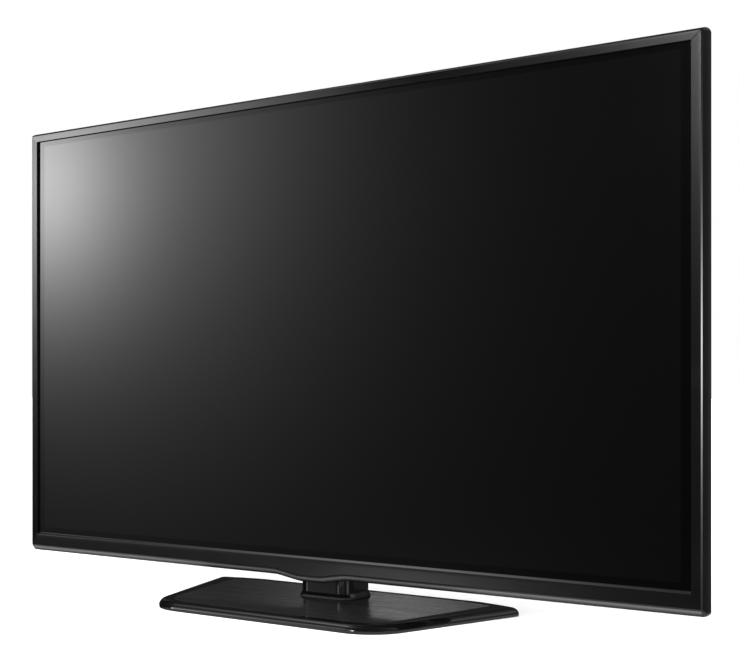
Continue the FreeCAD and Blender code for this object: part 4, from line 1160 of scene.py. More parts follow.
@dataclass
class FrontOutline:
    """The set's outline from the front, with the shallow chin in its lower edge."""

    half: float
    low: float
    high: float
    radius: float = 0.0015
    chin_drop: float = 0.007
    chin_flat: float = 0.02
    chin_reach: float = 0.062
    chin_radius: float = 0.1
    chin_corners: int = 4
    steps: int = 8

    def loop(self, side: float, top: float, bottom: float, drop: float = 1.0,
             radius: float | None = None) -> list[Flat]:
        """Points of the outline moved inwards.

        Args:
            side: how far in the sides are.
            top: how far in the top is.
            bottom: how far in the lower edge is.
            drop: the share of the chin's drop that is left.
            radius: one radius for all four corners, or None for the outline's own.

        Returns:
            The points, always the same count in the same order.
        """
        half, low, high = self.half - side, self.low + bottom, self.high - top
        radius = radius or self.radius
        chin = low - self.chin_drop
        corners = [
            (-half, low, radius),
            (-self.chin_reach, low, self.chin_radius),
            (-self.chin_flat, chin, self.chin_radius),
            (self.chin_flat, chin, self.chin_radius),
            (self.chin_reach, low, self.chin_radius),
            (half, low, radius),
            (half, high, radius),
            (-half, high, radius),
        ]
        points = rounded(corners, self.steps)
        for index in self.chin_range():
            u, v = points[index]
            points[index] = (u, low + (v - low) * drop)
        return points

    def chin_range(self) -> range:
        """The indices of the loop's points along the lower edge, from one side of the chin to the other."""
        count = self.steps + 1
        return range(count, (1 + self.chin_corners) * count)


@dataclass
class FrontBezel:
    """Thin gloss frame round the screen, with a rim that swells behind its face, and the strip below it."""

    shop: Workshop
    side: float = 0.0138
    top: float = 0.012
    bottom: float = 0.0303
    chamfer: float = 0.0017
    lean: float = 0.0004
    strip_height: float = 0.01
    strip_depth: float = 0.009
    rim_side: float = 0.0047
    rim_top: float = 0.004
    rim_depth: float = 0.015
    rim_radius: float = 0.006
    lip: float = 0.0028
    lip_side: float = 0.0003
    plate: float = 0.004
    wall: float = 0.0025
    groove: float = 0.0005
    edge: float = 0.0003
    opening_radius: float = 0.0015
    window_gap: float = 0.0001
    window_steps: int = 4
    light_points: int = 32
    hole_radius: float = 0.008
    hole_depth: float = 0.0175
    hole_points: int = 48
    rest_swell: float = 0.02
    rim_steps: int = 8
    face_shares: Triple = (0.25, 0.5, 0.75)
    strip_steps: int = 10
    strip_curl: float = 1.35

    def __post_init__(self) -> None:
        """Reads the outline from the frame."""
        low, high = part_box("front_bezel")
        self.front, self.back = low.y, high.y
        self.outline = FrontOutline(
            high.x - self.rim_side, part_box("lower_strip")[0].z + FrontOutline.chin_drop,
            high.z - self.rim_top)
        self.reach = self.outline.half - self.chamfer

    def ring(self, inset: float, swell: float, depth: float) -> tuple[list[Flat], float]:
        """One outline round the front block.

        Args:
            inset: how far it lies inside the outline at the sides and the top.
            swell: the share of the rim's swelling there.
            depth: its depth behind the front.

        Returns:
            The outline and its depth.
        """
        slope = self.strip_height * max(0.0, 1.0 - depth / self.strip_depth)
        radius = self.outline.radius + (self.rim_radius - self.outline.radius) * swell
        side, top = inset - self.rim_side * swell, inset - self.rim_top * swell
        return self.outline.loop(side, top, slope, 1.0, radius), depth

    def rim(self) -> list[tuple[list[Flat], float]]:
        """The rings that swell and sink again behind the face.

        Returns:
            Outlines and depths from the chamfer over the rim's crest to the back of the skirt.
        """
        start, length = self.chamfer + self.lean, self.back - self.front
        rings = []
        for step in range(self.rim_steps):
            share = step / self.rim_steps
            swell = math.sin(share * math.pi / 2)
            rings.append(self.ring(0.0, swell, start + (self.rim_depth - start) * share))
        for step in range(self.rim_steps + 1):
            share = step / self.rim_steps
            swell = (1 - self.rest_swell) * math.cos(share * math.pi / 2) + self.rest_swell
            depth = self.rim_depth + (length - self.edge - self.rim_depth) * share
            rings.append(self.ring(0.0, swell, depth))
        return rings

    def outer_rings(self) -> list[tuple[list[Flat], float]]:
        """The rings round the outside.

        Returns:
            Outlines and depths from the front face round the outside to the back of the plate.
        """
        e, lean, length = self.edge, self.lean, self.back - self.front
        diagonal = e * 0.7
        low = self.strip_height + self.wall
        inner = self.outline.loop(self.wall, self.wall, low)
        return [
            self.ring(self.chamfer + e, 0.0, lean),
            self.ring(self.chamfer + e * 0.3, 0.0, lean + e * 0.1),
            self.ring(self.chamfer - diagonal, 0.0, lean + diagonal),
            self.ring(diagonal, 0.0, lean + self.chamfer - diagonal),
            *self.rim(),
            self.ring(e, self.rest_swell, length),
            (inner, length),
            (inner, self.plate),
        ]

    def opening(self, share: float) -> list[Flat]:
        """The screen opening's outline, from its narrow back at 0 to its wide front edge at 1."""
        side, low = self.side - self.lip_side * share, self.bottom - self.lip * share
        return self.outline.loop(side, self.top - self.lip_side * share, low, 0.0, self.opening_radius)

    def build_frame(self) -> None:
        """Makes the bezel and lets it stand for its node."""
        rounding = self.edge / self.lip
        inner = [
            (self.opening(0.0), self.plate),
            (self.opening(0.0), self.lip),
            (self.opening(1.0 - rounding), self.edge),
            (self.opening(1.0 + rounding * 0.2), self.edge * 0.3),
            (self.opening(1.0 + rounding), 0.0),
        ]
        outer = self.outer_rings()
        face = []
        for share in self.face_shares:
            face.append((mix_outlines(inner[-1][0], outer[0][0], share), self.lean * share))
        levels = [(outline, self.front + depth) for outline, depth in inner + face + outer]
        obj = stack("bezel_frame", levels, self.shop.finishes.get("gloss_black"), Axis.Y, hollow=True)
        cut(obj, self.window_tools() + [self.strip_tool(), self.stick_hole()])
        self.shop.stand_for(smooth(obj), "front_bezel")

    def strip_path(self, inset: float) -> list[Flat]:
        """Points along the lower edge at one height, from side to side through the chin.

        Args:
            inset: how far above the lower edge they are.

        Returns:
            The points as (x, z).
        """
        points = self.outline.loop(0.0, 0.0, inset)
        level = self.outline.low + inset
        chin = [points[index] for index in self.outline.chin_range()]
        return [(-self.reach, level)] + chin + [(self.reach, level)]

    def strip_tool(self) -> bpy.types.Object:
        """Tool for the space that the strip fills, with a fine groove above it.

        Returns:
            The closed tool.
        """
        path = self.strip_path(self.strip_height + self.groove)
        low = self.outline.low - 2 * self.outline.chin_drop
        outline = path + [(self.reach, low), (-self.reach, low)]
        return prism("strip tool", outline, self.front - MM, self.front + self.strip_depth, Axis.Y,
                     self.shop.finishes.get("gloss_black"))

    def window_tools(self) -> list[bpy.types.Object]:
        """Tools for the sensor window's and the standby light's holes.

        Returns:
            The two closed tools.
        """
        black, gap = self.shop.finishes.get("gloss_black"), self.window_gap
        near, far = self.front - MM, self.front + 2 * self.plate
        low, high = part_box("sensor_window")
        corners = [
            (low.x - gap, low.z - gap, MM), (high.x + gap, low.z - gap, MM),
            (high.x + gap, high.z + gap, MM), (low.x - gap, high.z + gap, MM)]
        window = prism("window tool", rounded(corners, self.window_steps), near, far, Axis.Y, black)
        low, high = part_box("standby_light")
        centre = ((low.x + high.x) / 2, (low.z + high.z) / 2)
        ring = circle((high.x - low.x) / 2 + gap, self.light_points, centre)
        return [window, prism("light tool", ring, near, far, Axis.Y, black)]

    def stick_hole(self) -> bpy.types.Object:
        """Tool for the hole that the joystick stands in.

        Returns:
            The closed tool.
        """
        ring = circle(self.hole_radius, self.hole_points, (0.0, self.front + self.hole_depth))
        low = self.outline.low - 2 * self.outline.chin_drop
        return prism("stick tool", ring, low, self.outline.low + self.strip_height + 2 * self.wall,
                     Axis.Z, self.shop.finishes.get("gloss_black"))

    def build_strip(self) -> None:
        """Makes the sloping strip, rounded into the underside, and lets it stand for its node."""
        tall, deep, e = self.strip_height, self.strip_depth, self.edge
        profile = [(deep, 0.0), (4 * e, 0.0), (2.6 * e, 0.15 * e)]
        for step in range(self.strip_steps + 1):
            share = step / self.strip_steps
            drop = tall * (1 - (1 - share) ** self.strip_curl)
            profile.append((2 * e + (deep - 2 * e) * share, 0.6 * e + (tall - 0.6 * e) * drop / tall))
        levels = [
            ([(self.front + depth, level - drop) for depth, drop in profile], x)
            for x, level in self.strip_path(tall)]
        obj = stack("light_strip", levels, self.shop.finishes.get("strip_grey"), Axis.X)
        across = obj.data.uv_layers.new(name="across")
        for loop in obj.data.loops:
            point = obj.data.vertices[loop.vertex_index].co
            across.data[loop.index].uv = (point.x, (point.y - self.front) / deep)
        self.shop.stand_for(smooth(obj), "lower_strip")

    def build(self) -> None:
        """Makes both pieces."""
        self.build_frame()
        self.build_strip()


@dataclass
class StandBase:
    """Trapezoid base: gloss cover with a skirt, brushed inset plate and rubber feet."""

    shop: Workshop
    front_half: float = 0.1968
    back_half: float = 0.2838
    front_radius: float = 0.068
    tip_radius: float = 0.011
    tip_forward: float = 0.018
    shoulder_half: float = 0.21
    shoulder_radius: float = 0.2
    skirt_tuck: float = 0.0005
    skirt_gap: float = 0.0003
    skirt_top: float = 0.0042
    border: float = 0.02
    plate_taper: float = 0.018
    border_heights: tuple[Flat, ...] = (
        (0.0, 0.0), (0.0005, 0.0013), (0.0011, 0.0025), (0.0023, 0.0044), (0.0045, 0.0064),
        (0.0068, 0.00755), (0.0078, 0.0078), (0.02, 0.0078))
    wall: float = 0.0022
    under_slope: float = 0.003
    under_flat: float = 0.009
    edge: float = 0.0003
    sharp_angle: float = 40.0
    inset_thickness: float = 0.0015
    inset_gap: float = 0.00015
    inset_edge: float = 0.0002
    foot_edge: float = 0.0006
    foot_sole: tuple[Flat, ...] = ((0.55, 0.0), (0.6, 0.5), (0.66, 0.5), (0.71, 0.0))
    foot_side: float = 0.6
    foot_waist: Flat = (0.94, 0.75)
    foot_points: int = 40
    hub_radius: float = 0.0365
    hub_points: int = 96
    steps: int = 20
    curve_steps: int = 4

    def __post_init__(self) -> None:
        """Reads the base's reach from the frame."""
        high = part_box("base_cover")[1]
        self.half_depth, self.height = high.y, high.z
        shaft_low, shaft_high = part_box("swivel_shaft")
        self.axis_y = (shaft_low.y + shaft_high.y) / 2

    def corners(self) -> list[Corner]:
        """The outline from above.

        Returns:
            Its corners as (x, y, radius).
        """
        slant = (self.back_half - self.front_half) / (2 * self.half_depth)
        tip_x = self.back_half - self.tip_forward * slant
        tip_y = self.half_depth - self.tip_forward
        return [
            (-self.front_half, -self.half_depth, self.front_radius),
            (self.front_half, -self.half_depth, self.front_radius),
            (tip_x, tip_y, self.tip_radius),
            (self.shoulder_half, self.half_depth, self.shoulder_radius),
            (-self.shoulder_half, self.half_depth, self.shoulder_radius),
            (-tip_x, tip_y, self.tip_radius),
        ]

    def outline(self, inset: float) -> list[Flat]:
        """The outline from above, moved inwards, with the back corners drawn in towards the plate's.

        Args:
            inset: how far inwards.

        Returns:
            Its points.
        """
        corners = shrink(self.corners(), inset)
        pull = self.plate_taper * max(0.0, min(1.0, inset / self.border)) ** 2
        for index in range(2, len(corners)):
            u, v, radius = corners[index]
            corners[index] = (u - math.copysign(pull, u), v, radius)
        return rounded(corners, self.steps)

    def curve(self, knots: Sequence[Flat]) -> list[Flat]:
        """A smooth curve through knots, no higher than the cover.

        Args:
            knots: inset and height of each knot.

        Returns:
            Points from the first knot up to, but without, the last.
        """
        before = [knots[0], *knots[:-1]]
        after = [*knots[1:], knots[-1]]
        slopes = [(b[1] - a[1]) / (b[0] - a[0]) for a, b in zip(before, after)]
        points = []
        for index in range(len(knots) - 1):
            a, b = knots[index], knots[index + 1]
            run = b[0] - a[0]
            for part in range(self.curve_steps):
                t = part / self.curve_steps
                ease_a, ease_b = 2 * t ** 3 - 3 * t ** 2 + 1, 3 * t ** 2 - 2 * t ** 3
                pull_a, pull_b = t ** 3 - 2 * t ** 2 + t, t ** 3 - t ** 2
                pull = pull_a * slopes[index] + pull_b * slopes[index + 1]
                height = ease_a * a[1] + ease_b * b[1] + run * pull
                points.append((a[0] + run * t, min(height, self.height)))
        return points

    def border_profile(self) -> list[Flat]:
        """The cover's outside.

        Returns:
            Inset and height of the rings from the skirt over the border to the inset plate.
        """
        e = self.edge
        skirt = [
            (self.skirt_tuck, self.skirt_gap), (0.0, self.skirt_top - e),
            (0.3 * e, self.skirt_top - 0.2 * e)]
        knots = [(inset, self.skirt_top + rise) for inset, rise in self.border_heights]
        return skirt + self.curve([(0.5 * e, self.skirt_top)] + knots[1:]) + [
            (self.border - 0.8 * e, self.height), (self.border - 0.2 * e, self.height - 0.2 * e),
            (self.border, self.height - e), (self.border, self.height - self.inset_thickness)]

    def under_profile(self) -> list[Flat]:
        """The cover's inside.

        Returns:
            Inset and height of the rings from the rim inwards.
        """
        ceiling = self.height - 2 * self.inset_thickness
        return [
            (self.wall + self.skirt_tuck, self.skirt_gap),
            (self.wall + self.under_slope, ceiling - self.wall), (self.wall + self.under_flat, ceiling)]

    def hub_tool(self) -> bpy.types.Object:
        """Tool for the round hole that the neck's foot turns in."""
        ring = circle(self.hub_radius, self.hub_points, (0.0, self.axis_y))
        return prism("hub tool", ring, -MM, 2 * self.height, Axis.Z, self.shop.finishes.get("base_gloss"))

    def build_cover(self) -> None:
        """Makes the gloss cover."""
        profile = list(reversed(self.under_profile())) + self.border_profile()
        levels = [(self.outline(inset), z) for inset, z in profile]
        obj = stack("base_shell", levels, self.shop.finishes.get("base_gloss"))
        cut(obj, [self.hub_tool()])
        self.shop.stand_for(smooth(obj, self.sharp_angle), "base_cover")

    def build_inset(self) -> None:
        """Makes the brushed plate that lies flush in the cover."""
        side, e = self.border + self.inset_gap, self.inset_edge
        profile = [
            (side, self.height - self.inset_thickness), (side, self.height - e),
            (side + 0.3 * e, self.height - 0.2 * e), (side + e, self.height)]
        levels = [(self.outline(inset), z) for inset, z in profile]
        obj = stack("brushed_plate", levels, self.shop.finishes.get("base_brushed"))
        cut(obj, [self.hub_tool()])
        smooth(obj)
        brushing = obj.data.uv_layers.new(name="brushing")
        for loop in obj.data.loops:
            point = obj.data.vertices[loop.vertex_index].co
            brushing.data[loop.index].uv = (point.y, point.x)
        self.shop.stand_for(obj, "base_inset")

    def build_feet(self) -> None:
        """Makes the rubber feet with a rounded rim and a shallow ring in the sole."""
        boxes = islands(self.shop.nodes["base_feet"])
        low, high = boxes[0]
        radius, tall, e = (high.x - low.x) / 2, high.z - low.z, self.foot_edge
        waist, waist_from = self.foot_waist
        profile = [(radius * wide, rise * e) for wide, rise in self.foot_sole]
        profile += [
            (radius - e, 0.0), (radius - 0.3 * e, 0.3 * e), (radius, e), (radius, tall * self.foot_side),
            (radius * waist, tall * waist_from), (radius * waist, tall)]
        foot = lathe("foot", profile, self.foot_points, self.shop.finishes.get("foot_rubber"))
        points = [Vector(((a.x + b.x) / 2, (a.y + b.y) / 2, a.z)) for a, b in boxes]
        obj = self.shop.scatter.place("rubber_feet", foot, points, self.shop.finishes.get("foot_rubber"))
        self.shop.stand_for(obj, "base_feet")

    def build(self) -> None:
        """Makes the base's pieces."""
        self.build_cover()
        self.build_inset()
        self.build_feet()


@dataclass
class Neck:
    """Rounded neck in two shells, with a short slope at its foot, on a stepped collar."""

    shop: Workshop
    width: float = 0.09
    depth: float = 0.068
    radius: float = 0.02
    foot: tuple[Flat, ...] = ((0.0028, 0.0), (0.0, 0.0044))
    slope_start: float = 0.006
    top_depth: float = 0.03
    wall: float = 0.003
    slope_sink: float = 1.4
    seam: float = 0.0002
    pad_gap: float = 0.0004
    pad_rise: float = 0.008
    pad_half: float = 0.0284
    tool_reach: float = 0.2
    tool_extra: float = 0.02
    collar_edge: float = 0.0003
    collar_gap: float = 0.1 * MM
    sharp_angle: float = 14.0
    steps: int = 16

    def __post_init__(self) -> None:
        """Reads the neck's place from the frame."""
        collar_low, collar_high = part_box("neck_collar")
        self.axis_y = (collar_low.y + collar_high.y) / 2
        self.collar_low, self.cover_low = collar_low.z, collar_high.z
        self.collar_step = (collar_high.x - collar_low.x - self.width) / 2
        self.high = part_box("neck_front_cover")[1].z
        self.set_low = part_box("lower_strip")[0].z + FrontOutline.chin_drop

    def outline(self, grow: float) -> list[Flat]:
        """The neck's outline from above, grown all round.

        Args:
            grow: how far.

        Returns:
            Its points.
        """
        half_w, half_d, radius = self.width / 2 + grow, self.depth / 2 + grow, self.radius + grow
        corners = [
            (-half_w, self.axis_y - half_d, radius), (half_w, self.axis_y - half_d, radius),
            (half_w, self.axis_y + half_d, radius), (-half_w, self.axis_y + half_d, radius)]
        return rounded(corners, self.steps)

    def side_profile(self) -> list[Flat]:
        """Growth and height of the rings from the foot to the top."""
        rings = [(grow, self.cover_low + rise) for grow, rise in self.foot]
        return rings + [(0.0, self.set_low + self.slope_start), (0.0, self.high)]

    def slope_tool(self, sink: float) -> bpy.types.Object:
        """The wedge behind the sloping back of the neck.

        Args:
            sink: how far forward it is moved, for the hollow.

        Returns:
            The closed wedge.
        """
        back = self.axis_y + self.depth / 2
        start = self.set_low + self.slope_start
        top_y = self.axis_y - self.depth / 2 + self.top_depth
        slope, extra = (back - top_y) / (self.high - start), self.tool_extra
        points = [
            (back + slope * extra, start - extra), (top_y - slope * extra, self.high + extra),
            (back + 4 * extra, self.high + extra), (back + 4 * extra, start - extra)]
        outline = [(y - sink, z) for y, z in points]
        return prism("slope tool", outline, -self.width, self.width, Axis.X,
                     self.shop.finishes.get("neck_gloss"))

    def column(self, name: str, grow: float, low: float, high: float) -> bpy.types.Object:
        """The neck's closed form, or its hollow.

        Args:
            name: the object's name.
            grow: added to every ring's growth.
            low: extra length below.
            high: extra length above.

        Returns:
            The closed column.
        """
        profile = self.side_profile()
        profile[0] = (profile[0][0], profile[0][1] - low)
        profile[-1] = (profile[-1][0], profile[-1][1] + high)
        levels = [(self.outline(out + grow), z) for out, z in profile]
        return stack(name, levels, self.shop.finishes.get("neck_gloss"))

    def pad_tool(self) -> bpy.types.Object:
        """Tool for the window that the core's pad stands in.

        Returns:
            The closed tool.
        """
        low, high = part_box("neck_core")
        gap, half = self.pad_gap, self.pad_half
        pad_low, pad_high = self.set_low + self.pad_rise - gap, high.z + gap
        front = self.axis_y - self.depth / 2
        left, right = max(-half, low.x - gap), min(half, high.x + gap)
        corners = [(left, pad_low), (right, pad_low), (right, pad_high), (left, pad_high)]
        return prism("pad tool", corners, front - MM, front + self.wall + 2 * gap, Axis.Y,
                     self.shop.finishes.get("neck_gloss"))

    def half_tool(self, front: bool) -> bpy.types.Object:
        """A block that holds the front or the rear half, less half the seam.

        Args:
            front: whether it holds the front half.

        Returns:
            The closed block.
        """
        reach = self.tool_reach
        edge = self.axis_y - self.seam / 2 if front else self.axis_y + self.seam / 2
        near, far = (self.axis_y - reach, edge) if front else (edge, self.axis_y + reach)
        corners = [(-reach, near), (reach, near), (reach, far), (-reach, far)]
        return prism("half tool", corners, -MM, self.high + reach, Axis.Z,
                     self.shop.finishes.get("neck_gloss"))

    def build_shell(self, name: str, node: str, front: bool) -> None:
        """Makes one half of the neck's cover.

        Args:
            name: the piece's name.
            node: the node that it stands for.
            front: whether it is the front half.
        """
        body = self.column(name, 0.0, 0.0, 0.0)
        hollow = self.column("hollow", -self.wall, MM, -self.wall)
        cut(hollow, [self.slope_tool(self.wall * self.slope_sink)])
        cut(body, [self.slope_tool(0.0), hollow, self.pad_tool()])
        cut(body, [self.half_tool(front)], keep=True)
        self.shop.stand_for(smooth(body, self.sharp_angle), node)

    def build_collar(self) -> None:
        """Makes the stepped collar under the neck."""
        e = self.collar_edge
        tall = self.cover_low - self.collar_low
        profile = [
            (-self.wall, self.collar_low), (self.collar_step - e, self.collar_low),
            (self.collar_step, self.collar_low + e), (self.collar_step, self.collar_low + tall / 2 - e),
            (self.collar_step - 0.3 * e, self.collar_low + tall / 2),
            (self.foot[0][0], self.cover_low - self.collar_gap),
            (-self.wall, self.cover_low - self.collar_gap)]
        levels = [(self.outline(grow), z) for grow, z in profile]
        obj = stack("collar_ring", levels, self.shop.finishes.get("collar_satin"), hollow=True)
        self.shop.stand_for(smooth(obj, self.sharp_angle), "neck_collar")

    def build(self) -> None:
        """Makes the neck's visible pieces."""
        self.build_shell("neck_front_shell", "neck_front_cover", True)
        self.build_shell("neck_rear_shell", "neck_rear_cover", False)
        self.build_collar()


@dataclass
class Fasteners:
    """Screws with recessed heads, placed where the frame has them."""

    shop: Workshop
    ring_points: int = 28
    crown: tuple[Flat, ...] = (
        (0.98, 0.0), (1.0, 0.15), (0.98, 0.45), (0.9, 0.72), (0.72, 0.92), (0.4, 1.0))
    point_share: float = 0.6
    hex_radius: float = 0.5
    hex_floor: float = 0.3
    cross_arm: float = 0.13
    cross_reach: float = 0.6
    cross_floor: float = 0.35

    def head_profile(self, radius: float, tall: float) -> list[Flat]:
        """Radius and height of a pan head, from its seat to its crown."""
        return [(radius * wide, tall * rise) for wide, rise in self.crown]

    def recess(self, radius: float, tall: float, drive: Drive) -> bpy.types.Object:
        """Tool for the recess in a head.

        Args:
            radius: the head's radius.
            tall: the head's height.
            drive: the recess's form.

        Returns:
            A closed tool about Z.
        """
        steel = self.shop.finishes.get("zinc_steel")
        if drive is Drive.HEX:
            sides = circle(radius * self.hex_radius, drive.value)
            return prism("hex tool", sides, tall * self.hex_floor, tall * 2, Axis.Z, steel)
        arm, reach = radius * self.cross_arm, radius * self.cross_reach
        outline = [
            (arm, arm), (arm, reach), (-arm, reach), (-arm, arm), (-reach, arm), (-reach, -arm),
            (-arm, -arm), (-arm, -reach), (arm, -reach), (arm, -arm), (reach, -arm), (reach, arm)]
        return prism("cross tool", outline, tall * self.cross_floor, tall * 2, Axis.Z, steel)

    def screw(self, head_radius: float, head: float, shank_radius: float, shank: float,
              drive: Drive) -> bpy.types.Object:
        """One screw about Z, its seat at 0, its head up and its shank down.

        Args:
            head_radius: the head's radius.
            head: the head's height.
            shank_radius: the shank's radius.
            shank: the shank's length.
            drive: the recess's form.

        Returns:
            The screw.
        """
        point = shank_radius * self.point_share
        profile = [(point, -shank), (shank_radius, -shank + point), (shank_radius, 0.0)]
        profile += self.head_profile(head_radius, head)
        obj = lathe("screw", profile, self.ring_points, self.shop.finishes.get("zinc_steel"))
        return cut(obj, [self.recess(head_radius, head, drive)])

    def place(self, node: str, name: str, finish: str, axis: Axis, sign: int, head: float,
              shank_share: float, drive: Drive) -> None:
        """Replaces one node of screws by detailed ones.

        Args:
            node: the node.
            name: the new piece's name.
            finish: its finish.
            axis: the direction that the heads point along.
            sign: 1 or -1 along that axis.
            head: the head's height.
            shank_share: the shank's radius as a share of the head's.
            drive: the recess's form.
        """
        boxes = islands(self.shop.nodes[node])
        low, high = boxes[0]
        index = 2 if axis is Axis.Z else 1
        radius, whole = (high.x - low.x) / 2, high[index] - low[index]
        screw = self.screw(radius, head, radius * shank_share, whole - head, drive)
        if axis is Axis.Z:
            turn = (0.0 if sign > 0 else math.pi, 0.0, 0.0)
        else:
            turn = (-math.pi / 2 * sign, 0.0, 0.0)
        points = []
        for a, b in boxes:
            point = (a + b) / 2
            point[index] = b[index] - head if sign > 0 else a[index] + head
            points.append(point)
        obj = self.shop.scatter.place(
            name, screw, points, self.shop.finishes.get(finish), turn, spin=math.pi / 2)
        self.shop.stand_for(obj, node)

    def build(self) -> None:
        """Makes every group of screws."""
        self.place("cover_screws", "cover_screw_set", "screw_black", Axis.Y, 1,
                   head=0.0016, shank_share=0.45, drive=Drive.CROSS)
        self.place("base_screws", "base_screw_set", "zinc_steel", Axis.Z, -1,
                   head=0.0018, shank_share=0.5, drive=Drive.CROSS)
        self.place("neck_screws", "neck_screw_set", "zinc_steel", Axis.Y, 1,
                   head=0.003, shank_share=0.5, drive=Drive.HEX)


@dataclass
class BackPanel:
    """Rear cover with its slots and pockets, and the sockets behind it."""

    shop: Workshop
    cover_edge: float = 0.0004
    socket_edge: float = 0.00012
    sockets: tuple[str, ...] = (
        "terminal_plate", "hdmi_sockets", "data_sockets", "mains_inlet", "inlet_blades", "aerial_socket",
        "audio_video_jacks", "wall_mount_inserts")

    def build(self) -> None:
        """Makes the cover and the sockets with rounded edges."""
        self.shop.soften("rear_cover", self.cover_edge)
        for node in self.sockets:
            self.shop.soften(node, self.socket_edge)


@dataclass(frozen=True)
class SoftPanel:
    """A soft glow in the surroundings; with a strength below 0 it takes light away, as a dark card does.

    Angles and sizes are in degrees, with azimuth 0 straight ahead of the screen and growing towards -X.
    """

    name: str
    azimuth: float
    elevation: float
    width: float
    height: float
    fade: float
    strength: float


